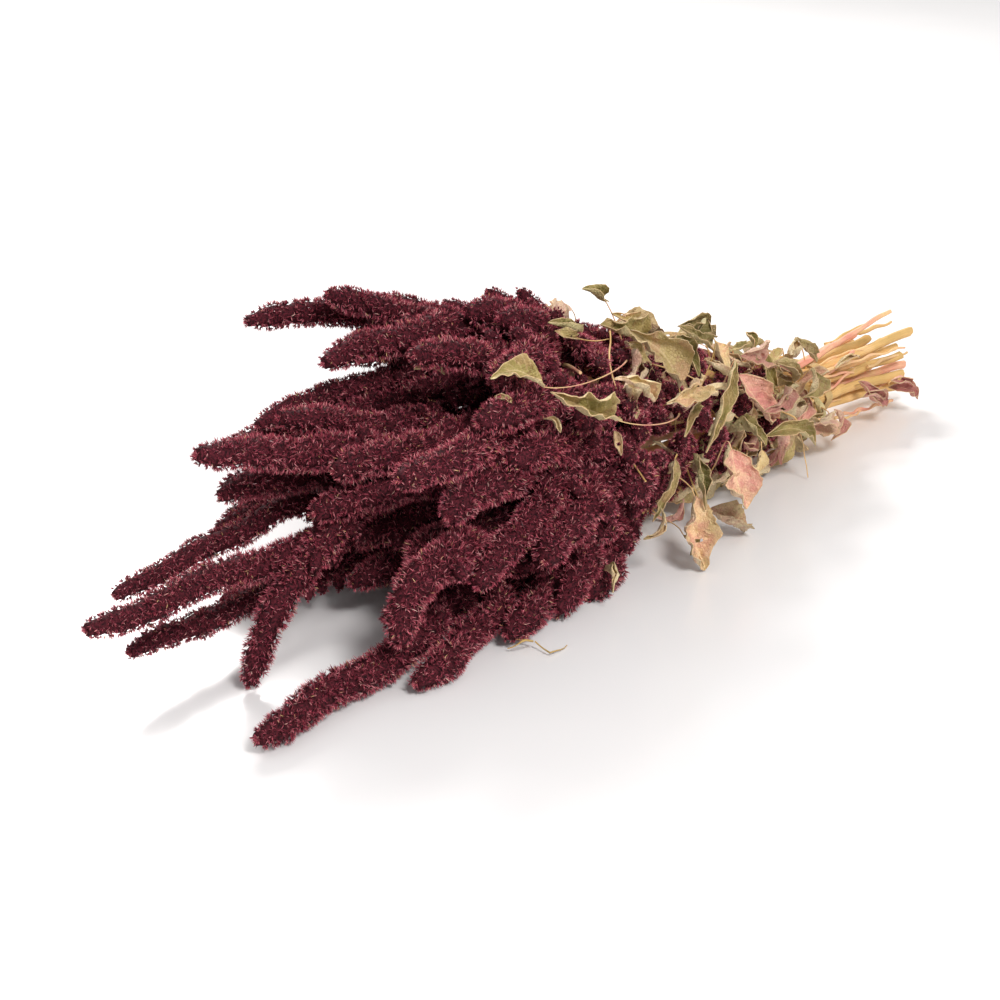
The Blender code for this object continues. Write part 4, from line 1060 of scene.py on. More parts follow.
def tube(line, frames, wide, thick, sides):
    """Closed tube with radii across and up at each point. Marks: the length so far, and the turn."""
    _, side, up = frames
    turn = 2 * math.pi * np.arange(sides) / sides
    out_side = np.cos(turn)[None, :, None] * side[:, None]
    out_up = np.sin(turn)[None, :, None] * up[:, None]
    wide = np.broadcast_to(np.asarray(wide, float).reshape(len(line), -1), (len(line), sides))
    thick = np.broadcast_to(np.asarray(thick, float).reshape(len(line), -1), (len(line), sides))
    rings = line[:, None] + out_side * wide[..., None] + out_up * thick[..., None]
    points = np.concatenate([rings.reshape(-1, 3), line[:1], line[-1:]])
    first, last = len(points) - 2, len(points) - 1
    row, column = np.meshgrid(np.arange(len(line) - 1), np.arange(sides), indexing="ij")
    a = (row * sides + column).ravel()
    b = (row * sides + (column + 1) % sides).ravel()
    column = np.arange(sides)
    after = (column + 1) % sides
    top = (len(line) - 1) * sides
    faces = np.concatenate([
        np.stack([a, b, b + sides], axis=1),
        np.stack([a, b + sides, a + sides], axis=1),
        np.stack([after, column, np.full(sides, first)], axis=1),
        np.stack([top + column, top + after, np.full(sides, last)], axis=1),
    ])
    reach = reaches(line)
    marks = reach[:, None], np.cos(turn)[None], np.sin(turn)[None]
    marks = np.stack(np.broadcast_arrays(*marks), axis=-1)
    ends = np.array([[reach[0], 0, 0], [reach[-1], 0, 0]])
    return points, faces, np.concatenate([marks.reshape(-1, 3), ends])


# Florets

def lumpy(radii, rng):
    """Radii that swell and shrink a little along a spike."""
    reach = np.arange(len(radii)) * FINE_STEP
    swell = np.zeros(len(radii))
    for _ in range(3):
        period = rng.uniform(*LUMP_PERIOD)
        swell += rng.uniform(*LUMP_SIZE) * np.sin(2 * math.pi * (reach / period + rng.random()))
    return radii * (1 + swell)


def straight_spike(start, way, length, girth, droop):
    """A short spike from a point along a direction, its tip drooping."""
    count = max(4, round(length / FINE_STEP) + 1)
    share = np.linspace(0, 1, count)
    points = start + way * (share * length)[:, None]
    points[:, 2] -= droop * share**2
    return points, girth * np.interp(share, *FINGER_PROFILE)


def side_fingers(points, radii, rng):
    """Short side spikes that stand out of the lower part of a spike."""
    ahead, side, up = carried_frames(points)
    last = len(points) * FINE_STEP * FINGER_SHARE
    place = rng.uniform(*FINGER_STEP)
    turn = rng.uniform(0, 2 * math.pi)
    made = []
    while place < last:
        near = int(place / FINE_STEP)
        out = side[near] * math.cos(turn) + up[near] * math.sin(turn)
        way = unit(out + ahead[near] * rng.uniform(*FINGER_LEAN))
        fade = 1 - FINGER_FADE * place / last
        girth = radii[near] * rng.uniform(*FINGER_GIRTH)
        length = radii[near] * rng.uniform(*FINGER_REACH) * fade
        if points[near, 2] + way[2] * length > girth:
            made.append(straight_spike(points[near], way, length, girth, FINGER_DROOP * length))
        place += rng.uniform(*FINGER_STEP)
        turn += GOLDEN_ANGLE
    return made


@dataclass
class Spike:
    """Points and radii of one spike, with the directions along and across it, and its own random draw."""
    head: str
    points: np.ndarray
    radii: np.ndarray
    rng: np.random.Generator
    sides: int = FINGER_SIDES
    frames: tuple = None

    def __post_init__(self):
        self.frames = carried_frames(self.points)

    def core(self):
        """The spike's knobbly body under its bracts."""
        turn = 2 * math.pi * np.arange(self.sides) / self.sides
        reach = 2 * math.pi * np.arange(len(self.points))[:, None] * FINE_STEP / KNOB_PERIOD
        knobs = np.cos(reach + 3 * turn) + np.cos(0.8 * reach - 4 * turn)
        radii = self.radii[:, None] * (CORE_SHARE + KNOB_SIZE * knobs)
        return tube(self.points, self.frames, radii, radii, self.sides)


def all_spikes(spikes, foliage):
    """Every spike with its side fingers, then the tufts of florets along the stems."""
    made = []
    for number, (head, line, radii) in enumerate(spikes):
        points, radii = fine_line(line, radii)
        rng = np.random.default_rng([7, number])
        points = wander(points, rng)
        radii = lumpy(radii, rng) * (1 + TIP_FULLNESS * np.linspace(0, 1, len(radii)))
        made.append(Spike(head, points, radii, rng, CORE_SIDES))
        for order, finger in enumerate(side_fingers(points, radii, rng)):
            made.append(Spike(head, *finger, np.random.default_rng([8, number, order])))
    for number in range(TUFTS):
        made.append(tuft(number, foliage))
    return made


def round_the_bunch(x, turn, depth):
    """A point at an angle round the stems, a depth inside their outer ring, and the way out from there."""
    ring = RING_NARROW + (RING_WIDE - RING_NARROW) * shoulder_share(x) - depth
    spot = middle_of_bunch(x) + ring * (math.cos(turn), math.sin(turn))
    return np.array([x, *spot]), np.array([0, math.cos(turn), math.sin(turn)])


def tuft(number, foliage):
    """A tuft of florets that stands out from a stem between the heads and the tie."""
    rng = np.random.default_rng([9, number])
    low, high = TUFT_REACH
    x = low + (high - low) * ((number + 0.5) / TUFTS) ** TUFT_BIAS
    place, away = round_the_bunch(x, small_turn(number), TUFT_DEPTH)
    name = foliage.outer_stems(place, x)[0]
    root = point_at(foliage.stems[name], x + ROOT_BACK)
    scatter = away * rng.uniform(*TUFT_LEAN) + TUFT_SCATTER * rng.normal(size=3)
    lean = unit(np.array([-1, 0, 0]) + scatter)
    girth = rng.uniform(*TUFT_GIRTH)
    length = np.linalg.norm(place - root) + rng.uniform(*TUFT_PROUD) * MM
    way = unit(unit(place - root) + 0.5 * lean)
    height = root[2] + way[2] * length
    if height < girth:
        way = unit(way + np.array([0, 0, (girth - height) / length]))
    return Spike(name, *straight_spike(root, way, length, girth, 0), rng)


def cluster_places(spike):
    """Centres, ways out, axes and radii of the floret clusters, in a spiral by the golden angle."""
    ahead, side, up = spike.frames
    points, radii, rng = spike.points, spike.radii, spike.rng
    area = np.cumsum(2 * math.pi * CLUSTER_SEAT * radii * FINE_STEP)
    count = int(area[-1] / CLUSTER_AREA)
    order = np.arange(count)
    place = np.interp((order + 0.5) * CLUSTER_AREA, area, np.arange(len(area)))
    place = np.clip(place + rng.normal(0, PLACE_JITTER / FINE_STEP, count), 0, len(area) - 1)
    turn = order * GOLDEN_ANGLE + rng.normal(0, TURN_JITTER, count)
    near = np.round(place).astype(int)
    out = side[near] * np.cos(turn)[:, None] + up[near] * np.sin(turn)[:, None]
    middle = read_off(place, np.arange(len(points)), points)
    radius = np.interp(place, np.arange(len(radii)), radii)
    to_end = (len(points) - 1 - place) * FINE_STEP
    lean = CLUSTER_LEAN + END_LEAN * np.clip(1 - to_end / END_REACH, 0, 1)
    axis = unit_rows(out + ahead[near] * lean[:, None])
    return middle + out * (radius * CLUSTER_SEAT)[:, None], out, axis, radius


def bracts(gathering, centres, out, axes, radius, count, rng):
    """Clusters of slim pointed bracts, each folded along its keel and fanning out from its centre."""
    spread = rng.normal(0, BRACT_SPREAD, (len(centres), count, 3))
    ways = unit_rows(axes[:, None] + spread)
    inward = np.clip(BRACT_OUTWARD - (ways * out[:, None]).sum(axis=2), 0, None)
    ways = unit_rows(ways + BRACT_TURN * inward[..., None] * out[:, None])
    size = np.sqrt(radius / SPIKE_RADIUS)[:, None]
    length = (rng.uniform(*BRACT_LENGTH, ways.shape[:2]) * size).reshape(-1, 1)
    width = rng.uniform(*BRACT_WIDTH, ways.shape[:2]).reshape(-1, 1)
    roots = (centres[:, None] + ways * BRACT_START * MM).reshape(-1, 3)
    tints = rng.random(ways.shape[:2]), rng.random(len(centres))[:, None]
    tints = np.stack(np.broadcast_arrays(*tints), axis=-1)
    ways = ways.reshape(-1, 3)
    side = unit_rows(np.cross(ways, rng.normal(size=ways.shape)))
    keel = np.cross(ways, side) * width
    corners = [roots - side * width, roots + keel, roots + side * width, roots + ways * length]
    points = np.stack(corners, axis=1).reshape(-1, 3)
    faces = 4 * np.arange(len(ways))[:, None, None] + np.array([[0, 1, 3], [1, 2, 3]])
    # The share along each bract, 0 at the root and 1 at the tip, carries the painted shade at the root and
    # the painted highlight at the tip.
    share = np.tile([0.0, 0.0, 0.0, 1.0], len(ways))
    marks = np.column_stack([share, np.repeat(tints.reshape(-1, 2), 4, axis=0)])
    gathering.add(points, faces.reshape(-1, 3), marks, 0)


class Crowding:
    """Tells which places on a spike lie inside another one, and how open the others are to view."""

    def __init__(self, spikes):
        self.points = np.concatenate([spike.points for spike in spikes])
        self.radii = np.concatenate([spike.radii for spike in spikes])
        self.owner = np.repeat(np.arange(len(spikes)), [len(spike.points) for spike in spikes])
        cores = Gathering()
        for spike in spikes:
            cores.add(*spike.core())
        points, faces = np.concatenate(cores.points), np.concatenate(cores.faces)
        self.tree = BVHTree.FromPolygons(points.tolist(), faces.tolist())
        order = np.arange(LOOKS) + 0.5
        height = 1 - LOOK_SPAN * order / LOOKS
        turn = order * GOLDEN_ANGLE
        flat = np.sqrt(1 - height**2)
        self.looks = np.stack([flat * np.cos(turn), flat * np.sin(turn), height], axis=1)

    def buried(self, places, own):
        """Which of the places lie inside another spike."""
        others = self.owner != own
        return touched(places, self.points[others], self.radii[others] * BURIED_SHARE)

    def openness(self, place, out):
        """Share of the looks from a place that meet no spike."""
        start = Vector(place)
        tried, free = 0, 0
        for look in self.looks:
            if look @ out > 0:
                tried += 1
                free += self.tree.ray_cast(start, Vector(look), LOOK_REACH)[0] is None
        return free / max(tried, 1)


def add_spike(gathering, number, spike, crowding):
    """One spike: a knobbly core, its burgundy painted dark as the shade between the bracts, and clusters of
    bracts where it can be seen.
    """
    points, faces, _ = spike.core()
    rng = spike.rng
    marks = np.tile([0.0, rng.random(), rng.random()], (len(points), 1))
    gathering.add(points, faces, marks, 1)
    centres, out, axes, radius = cluster_places(spike)
    if not len(centres):
        return
    starts = centres + out * (radius * LOOK_START)[:, None]
    hidden = crowding.buried(starts, number)
    open_share = np.array([0 if gone else crowding.openness(start, way)
                           for start, way, gone in zip(starts, out, hidden)])
    for chosen, count in ((open_share > SHADED_SHARE, CLUSTER_BRACTS),
                          ((open_share > 0) & (open_share <= SHADED_SHARE), SHADED_BRACTS)):
        if chosen.any():
            bracts(gathering, centres[chosen], out[chosen], axes[chosen], radius[chosen], count, rng)
    tip, way = spike.points[-1:], spike.frames[0][-1:]
    count = round(TIP_BRACTS * (spike.radii.max() / SPIKE_RADIUS) ** 2)
    bracts(gathering, tip, way, way, spike.radii.max(keepdims=True) * TIP_SHARE, count, rng)


# Leaves and stems

def crumple(leaf, s, t, length):
    """Lift of each point of a dry blade: small folds all over, and ruffles towards its edges."""
    draw = random.Random(f"crumple {leaf.name}")
    lift = np.zeros(s.shape)
    for _ in range(FOLDS):
        turn = draw.uniform(0, math.pi)
        period = draw.uniform(*FOLD_PERIOD)
        bent = 0.15 * math.sin(draw.uniform(0, 6)) * np.sin(5 * s + 3 * t)
        reach = s * length * math.cos(turn) + t * leaf.width / 2 * math.sin(turn)
        crease = abs(np.sin(math.pi * (reach / period + bent + draw.random()))) - 0.6
        lift += draw.uniform(*FOLD_SIZE) * draw.choice((-1, 1)) * crease * (0.5 + 0.5 * abs(t))
    for _ in range(WRINKLES):
        turn = draw.uniform(0, math.pi)
        reach = s * length * math.cos(turn) + t * leaf.width / 2 * math.sin(turn)
        wave = np.sin(2 * math.pi * (reach / draw.uniform(*WRINKLE_PERIOD) + 0.3 * np.sin(7 * s + 5 * t)))
        lift += draw.uniform(*WRINKLE_SIZE) * wave
    for sign in (-1, 1):
        period = draw.uniform(*RUFFLE_PERIOD)
        ruffle = np.sin(2 * math.pi * (s * length / period + draw.random()) + 1.5 * np.sin(9 * s))
        lift += draw.uniform(*RUFFLE_SIZE) * ruffle * np.clip(sign * t, 0, 1) ** 2.5
    foot, tip = CRUMPLE_FADES
    fade = np.clip(s / foot, 0, 1) * np.clip((1 - s) / tip, TIP_CRUMPLE, 1)
    return lift * fade * min(1, leaf.width / FULL_CRUMPLE_WIDTH)


def torn(leaf, s, t, length):
    """Which cells of a blade are missing: a few holes."""
    draw = random.Random(f"torn {leaf.name}")
    missing = np.zeros(s.shape, bool)
    for _ in range(draw.choice(TEARS)):
        middle_s, middle_t = [draw.uniform(*span) for span in TEAR_PLACE]
        gap = np.hypot((s - middle_s) * length, (t - middle_t) * leaf.width / 2)
        missing |= gap < draw.uniform(*TEAR_RADIUS) * MM
    return missing


def ragged(leaf, s, t):
    """The places across a blade, drawn in and out where its dry edge has shrunk."""
    draw = random.Random(f"edge {leaf.name}")
    edge = np.ones(s.shape)
    for sign in (-1, 1):
        for waves, size in EDGE_WAVES:
            sway = size * np.sin(2 * math.pi * (waves * draw.uniform(0.8, 1.2) * s + draw.random()))
            edge += sway * np.where(sign * t > 0, 1, 0)
    return t * edge


def normals(points):
    """Way that a grid of points faces at each of them."""
    return unit_rows(np.cross(np.gradient(points, axis=0), np.gradient(points, axis=1)))


def blade_sheet(leaf):
    """A thin closed sheet for one blade, with its folds, ruffles, veins and torn places."""
    length = np.linalg.norm(leaf.tip - leaf.base)
    cell = SMALL_CELL if leaf.name.startswith("small") else CELL
    rows = max(8, round(length / cell))
    columns = max(6, round(leaf.width / cell / 2) * 2)
    s_line, t_line = np.linspace(0, 1, rows + 1), np.linspace(-1, 1, columns + 1)
    s, t = np.meshgrid(s_line, t_line, indexing="ij")
    middle = blade_points(replace(leaf, roll=max(leaf.roll, BROAD_ROLL)), s, ragged(leaf, s, t))
    middle = middle + normals(middle) * crumple(leaf, s, t, length)[..., None]
    normal = normals(middle)
    rib = np.exp(-(t / VEIN_WIDTH) ** 2)
    vein = VEIN_RISE * (rib + 0.5 * np.cos(2 * math.pi * (s * VEINS - abs(t) * VEIN_SWEEP)))
    top = middle + normal * (LEAF_THICKNESS / 2 + vein)[..., None]
    bottom = middle - normal * (LEAF_THICKNESS / 2 + VEIN_RISE * rib)[..., None]
    cell_middles = [(line[:-1] + line[1:]) / 2 for line in (s_line, t_line)]
    kept = ~torn(leaf, *np.meshgrid(*cell_middles, indexing="ij"), length)
    points = np.concatenate([top.reshape(-1, 3), bottom.reshape(-1, 3)])
    faces = sheet_faces(kept, rows, columns)
    upper = np.stack([s, t, np.full(s.shape, leaf.tone)], axis=-1).reshape(-1, 3)
    lower = upper + (0, 0, UNDERSIDE)
    return used_only(points, faces, np.concatenate([upper, lower]))


def sheet_faces(kept, rows, columns):
    """Triangles of the upper and lower faces of the kept cells, and walls round their edges."""
    step = columns + 1
    below = (rows + 1) * step
    i, j = np.nonzero(kept)
    a, b, c, d = i * step + j, (i + 1) * step + j, (i + 1) * step + j + 1, i * step + j + 1
    quads = [np.stack([a, b, c, d], axis=1), np.stack([a, d, c, b], axis=1) + below]
    padded = np.pad(kept, 1)
    for move, start, end in (((-1, 0), d, a), ((1, 0), b, c), ((0, -1), a, b), ((0, 1), c, d)):
        open_side = ~padded[i + 1 + move[0], j + 1 + move[1]]
        p, q = start[open_side], end[open_side]
        quads.append(np.stack([q, p, p + below, q + below], axis=1))
    quads = np.concatenate(quads)
    return np.concatenate([quads[:, [0, 1, 2]], quads[:, [0, 2, 3]]])


def used_only(points, faces, marks):
    """The same faces without the points that none of them uses."""
    used, order = np.unique(faces, return_inverse=True)
    return points[used], order.reshape(faces.shape), marks[used]


def add_leaf(gathering, leaf):
    seed = random.Random(f"seed {leaf.name}").random()
    gathering.add(*blade_sheet(leaf), 1, seed)
    if leaf.name.removeprefix("small_") in SCRAPS:
        return
    line = even(stalk_line(leaf, STALK_POINTS), STALK_CELL)
    radii = PETIOLE_RADIUS * np.linspace(*STALK_TAPER, len(line))
    gathering.add(*tube(line, carried_frames(line), radii, radii * STALK_FLATNESS, STALK_SIDES), 0, seed)


def add_stem(gathering, name, line, leaves):
    """A grooved, shrunken stem, swollen where its leaves stand, with a slanted cut round sunken pith."""
    draw = random.Random(f"ribs {name}")
    stations = np.linspace(line[0, 0], line[-1, 0], round((line[0, 0] - line[-1, 0]) / STEM_STEP) + 1)
    order = np.argsort(line[:, 0])
    fine = read_off(stations, line[order, 0], line[order])
    reach = fine[:, 0] / MM
    swell = sum(np.sin(reach / draw.uniform(*SWELL_PERIOD) + draw.uniform(0, 6)) for _ in range(3))
    for axis in (1, 2):
        fine[:, axis] += STEM_SWAY * np.sin(reach / draw.uniform(*SWAY_PERIOD) + draw.uniform(0, 6))
    radius = STEM_RADIUS * (draw.uniform(*STEM_SHRUNK) + STEM_SWELL * swell / 2)
    for leaf in leaves:
        radius += KNUCKLE_SIZE * np.exp(-((fine[:, 0] - leaf.root[0]) / KNUCKLE_LENGTH) ** 2)
    turn = 2 * math.pi * np.arange(STEM_SIDES_FINE) / STEM_SIDES_FINE
    twist = RIB_TURNS * draw.uniform(-1, 1) * fine[:, 0] / STEM_RADIUS / 10
    first, second = draw.uniform(0, 6), draw.uniform(0, 6)
    ribs = np.cos(turn * RIBS + twist[:, None] + first) + 0.6 * np.cos(2 * turn - twist[:, None] + second)
    radii = np.minimum(radius, STEM_WIDEST)[:, None] * (1 + RIB_SIZE * ribs)
    frames = carried_frames(fine)
    points, faces, marks = tube(fine, frames, radii, radii, STEM_SIDES_FINE)
    slant = CUT_SLANT * draw.uniform(*CUT_SLANT_SHARE) * np.cos(turn + draw.uniform(0, 6))
    points[:STEM_SIDES_FINE] += frames[0][0] * slant[:, None]
    cut = (faces == len(points) - 2).any(axis=1)
    seed = draw.random()
    gathering.add(points, faces[~cut], marks, 0, seed)
    add_cut_end(gathering, points[:STEM_SIDES_FINE], frames[0][0], seed)


def stub(number, foliage):
    """Centre line, radius and stem of a dry stalk that runs along the stems near their cut ends."""
    draw = random.Random(f"stub {number}")
    low, high = STUB_REACH
    x = draw.uniform(low, high)
    length = draw.uniform(*STUB_LENGTH)
    turn = 2 * math.pi * stepped(number)
    place, away = round_the_bunch(min(x, TIE_X), turn, STUB_DEPTH)
    place[0] = x
    place[1:] += away[1:] * max(0, x - TIE_X) * STUB_SPLAY
    name = foliage.outer_stems(place, x)[0]
    across = np.cross((1, 0, 0), away)
    way = unit(np.array([1, 0, 0]) + away * draw.uniform(*STUB_LEAN) + across * draw.uniform(*STUB_SLANT))
    start = place - way * length / 2
    share = np.linspace(0, 1, STUB_POINTS)[:, None]
    bow = away * draw.uniform(*STUB_BOW) * MM + across * draw.uniform(*STUB_SWAY) * MM
    line = start + way * length * share + bow * np.sin(math.pi * share)
    line[:, 0] = np.minimum(line[:, 0], CUT_X)
    line[:, 2] = np.maximum(line[:, 2], STUB_LOWEST)
    return name, line, draw.uniform(*STUB_RADIUS)


def add_twig(gathering, line, radius, tone, name):
    """A thin dry stalk, a little crooked."""
    draw = random.Random(f"twig {name}")
    line = even(line, TWIG_STEP)
    order = np.arange(len(line))
    sway = sum(np.sin(order * draw.uniform(*TWIG_WAVES) + draw.uniform(0, 6)) for _ in range(2))
    line = line + np.outer(sway, (0, TWIG_CROOK, TWIG_CROOK)) * MM
    radii = radius * np.linspace(*TWIG_TAPER, len(line)) * (1 + TWIG_KNOBS * sway)
    gathering.add(*tube(line, carried_frames(line), radii, radii, TWIG_SIDES), 0, tone)


def add_cut_end(gathering, rim, ahead, seed):
    """The cut face of a stem: its woody ring, then the pith a little below it."""
    middle = rim.mean(axis=0)
    sides = len(rim)
    inner = middle + (rim - middle) * PITH_SHARE
    floor = inner + ahead * CUT_DEPTH
    points = np.concatenate([rim, inner, floor, [middle + ahead * CUT_DEPTH]])
    column = np.arange(sides)
    after = (column + 1) % sides
    faces = []
    for ring in (0, sides):
        faces.append(np.stack([ring + column, ring + sides + column, ring + sides + after], axis=1))
        faces.append(np.stack([ring + column, ring + sides + after, ring + after], axis=1))
    faces.append(np.stack([2 * sides + column, np.full(sides, 3 * sides), 2 * sides + after], axis=1))
    out = np.repeat([1.0, PITH_SHARE, 0.6, 0.0], [sides, sides, sides, 1])
    marks = np.column_stack([out, np.zeros(len(out)), np.zeros(len(out))])
    gathering.add(points, np.concatenate(faces), marks, 2, seed)


# The tie

def tie_outer_corner():
    """Lowest corner of the tie's box before the bunch is moved to the frame."""
    inner = tie_outline()
    outward = np.roll(inner, 1, axis=0) - np.roll(inner, -1, axis=0)
    outward = np.stack([-outward[:, 1], outward[:, 0]], axis=1)
    outward = unit_rows(outward)
    outward *= np.sign(((inner - inner.mean(axis=0)) * outward).sum(axis=1))[:, None]
    outer = inner + outward * TIE_THICKNESS
    return np.array([TIE_X - TIE_HALF_WIDTH, *outer.min(axis=0)])


def frame_shift():
    """How far the layout moves so that its tie is where the frame's tie is."""
    low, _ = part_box("tie")
    return np.array(low) - tie_outer_corner()


def raffia_strand(first_x, rng):
    """Centre line of one strand wound round the stems."""
    outline = tie_outline()
    middle = outline.mean(axis=0)
    turn = np.arange(round(RAFFIA_TURNS * RAFFIA_TURN_STEPS) + 1) / RAFFIA_TURN_STEPS
    ring = np.concatenate([outline, outline[:1]])
    yz = read_off((turn % 1) * len(outline), np.arange(len(ring)), ring)
    yz = yz + unit_rows(yz - middle) * RAFFIA_LIFT
    sway = RAFFIA_SWAY * np.sin(2 * math.pi * turn * rng.uniform(*RAFFIA_WAVES) + rng.uniform(0, 6))
    return np.column_stack([first_x + RAFFIA_PITCH * turn + sway, yz])


def add_tie(gathering):
    """Turns of flat raffia round the stems."""
    rng = np.random.default_rng(11)
    for strand in range(RAFFIA_STRANDS):
        first_x = TIE_X - TIE_HALF_WIDTH + (RAFFIA_INSET + RAFFIA_SHIFT * strand) * MM
        line = raffia_strand(first_x, rng)
        ahead = unit_rows(np.gradient(line, axis=0))
        side = unit_rows(np.array([1.0, 0, 0]) - ahead * ahead[:, :1])
        wide = RAFFIA_WIDE * (1 + RAFFIA_SWELL * np.sin(np.arange(len(line)) * RAFFIA_SWELL_STEP))
        frames = ahead, side, np.cross(ahead, side)
        strip = tube(line, frames, wide, np.full(len(line), RAFFIA_THICK), RAFFIA_SIDES)
        gathering.add(*strip, 0, rng.random())


# Finishes

# Places of the share, of the two colours and of the result among a colour mix node's sockets
MIX_INPUTS = (0, 6, 7)
MIX_OUTPUT = 2


def linear(red, green, blue):
    """Linear colour of an sRGB one."""
    shares = np.array([red, green, blue]) / 255
    return (*np.where(shares > 0.04045, ((shares + 0.055) / 1.055) ** 2.4, shares / 12.92), 1)


class Finish:
    """A material, with short ways to add shader nodes to it."""

    def __init__(self, name, roughness, specular=0.3):
        self.material = bpy.data.materials.new(name)
        self.material.use_nodes = True
        self.tree = self.material.node_tree
        self.shader = self.tree.nodes["Principled BSDF"]
        self.give(self.shader, {"Roughness": roughness, "Specular IOR Level": specular})
        self.place = self.add("ShaderNodeTexCoord").outputs["Object"]

    def give(self, node, inputs):
        """Gives inputs of a node their values, or links sockets to them."""
        for key, value in inputs.items():
            if isinstance(value, bpy.types.NodeSocket):
                self.tree.links.new(value, node.inputs[key])
            else:
                node.inputs[key].default_value = value

    def add(self, kind, inputs=None, **settings):
        made = self.tree.nodes.new(kind)
        for name, value in settings.items():
            setattr(made, name, value)
        self.give(made, inputs or {})
        return made

    def maths(self, operation, first, second=0.0, third=0.0):
        return self.add("ShaderNodeMath", {0: first, 1: second, 2: third}, operation=operation).outputs[0]

    def times(self, first, second):
        return self.maths("MULTIPLY", first, second)

    def times_plus(self, first, second, third):
        return self.maths("MULTIPLY_ADD", first, second, third)

    def ramp(self, share, stops):
        """Colour ramp through (place, colour) stops."""
        made = self.add("ShaderNodeValToRGB", {0: share})
        elements = made.color_ramp.elements
        while len(elements) < len(stops):
            elements.new(0.5)
        for element, (place, colour) in zip(elements, stops):
            element.position = place
            element.color = linear(*colour)
        return made.outputs[0]

    def mix(self, share, first, second, blend="MIX"):
        """The two colours mixed. A second colour given as three numbers is an sRGB one."""
        if isinstance(second, tuple):
            second = linear(*second)
        share_input, first_input, second_input = MIX_INPUTS
        inputs = {share_input: share, first_input: first, second_input: second}
        return self.add("ShaderNodeMix", inputs, data_type="RGBA", blend_type=blend).outputs[MIX_OUTPUT]

    def shade(self, colour, brightness):
        """The colour times a grey."""
        grey = self.add("ShaderNodeCombineColor", {0: brightness, 1: brightness, 2: brightness}).outputs[0]
        return self.mix(1.0, colour, grey, "MULTIPLY")

    def noise(self, scale, detail=3.0, roughness=0.55, vector=None):
        return self.add("ShaderNodeTexNoise", {
            "Vector": vector or self.place, "Scale": scale, "Detail": detail, "Roughness": roughness,
        }).outputs["Fac"]

    def marks(self):
        """The three numbers of the mark, and the seed."""
        mark = self.add("ShaderNodeAttribute", attribute_name="mark").outputs["Vector"]
        seed = self.add("ShaderNodeAttribute", attribute_name="seed").outputs["Fac"]
        return *self.add("ShaderNodeSeparateXYZ", {0: mark}).outputs, seed

    def fibres(self, stretch, scale):
        """Fibres along a tube, and its seed."""
        reach, around_y, around_z, seed = self.marks()
        vector = self.add("ShaderNodeCombineXYZ", {0: self.times(reach, stretch), 1: around_y, 2: around_z})
        return self.noise(scale, 4.0, 0.7, vector.outputs[0]), seed

    def done(self, colour, height=None, strength=1.0, distance=1.0):
        """The finished material, with its colour and a bump of some height."""
        self.give(self.shader, {"Base Color": colour})
        if height:
            inputs = {"Height": height, "Strength": strength, "Distance": distance}
            self.give(self.shader, {"Normal": self.add("ShaderNodeBump", inputs).outputs[0]})
        return self.material


def floret_finish():
    """Bristles with painted shade at their roots and a painted highlight at their rosy tips, each with its
    own tint, and a few straw-coloured ones.
    """
    look = Finish("bristly florets", 0.5, 0.4)
    share, tint, cluster, _ = look.marks()
    body = look.ramp(tint, [
        (0.0, (84, 22, 32)), (0.3, (134, 46, 60)), (0.6, (176, 76, 90)), (0.82, (218, 118, 128)),
        (0.95, (242, 168, 168)), (0.985, (250, 206, 190)), (0.99, (238, 200, 140))])
    body = look.mix(look.times(look.noise(28.0, 2.0), 0.3), body, (140, 54, 92))
    body = look.mix(look.times(cluster, 0.3), body, (112, 42, 42))
    # Painted shade and painted highlight: each bract's colour runs from 0.14 times at its root to 1.84
    # times at its tip.
    return look.done(look.shade(body, look.times_plus(share, 1.7, 0.14)))


def core_finish():
    """The spike under its bristles: its own burgundy darkened as painted shade between the bracts, with a
    grain of buds.
    """
    look = Finish("spike core", 0.85, 0.15)
    grain = look.noise(900.0, 2.0)
    # Painted shade: the core stays deep burgundy, the tone of the shade that falls between the bracts.
    return look.done(look.ramp(grain, [(0.35, (30, 9, 14)), (0.65, (92, 32, 42))]), grain, 0.6, 0.5 * MM)


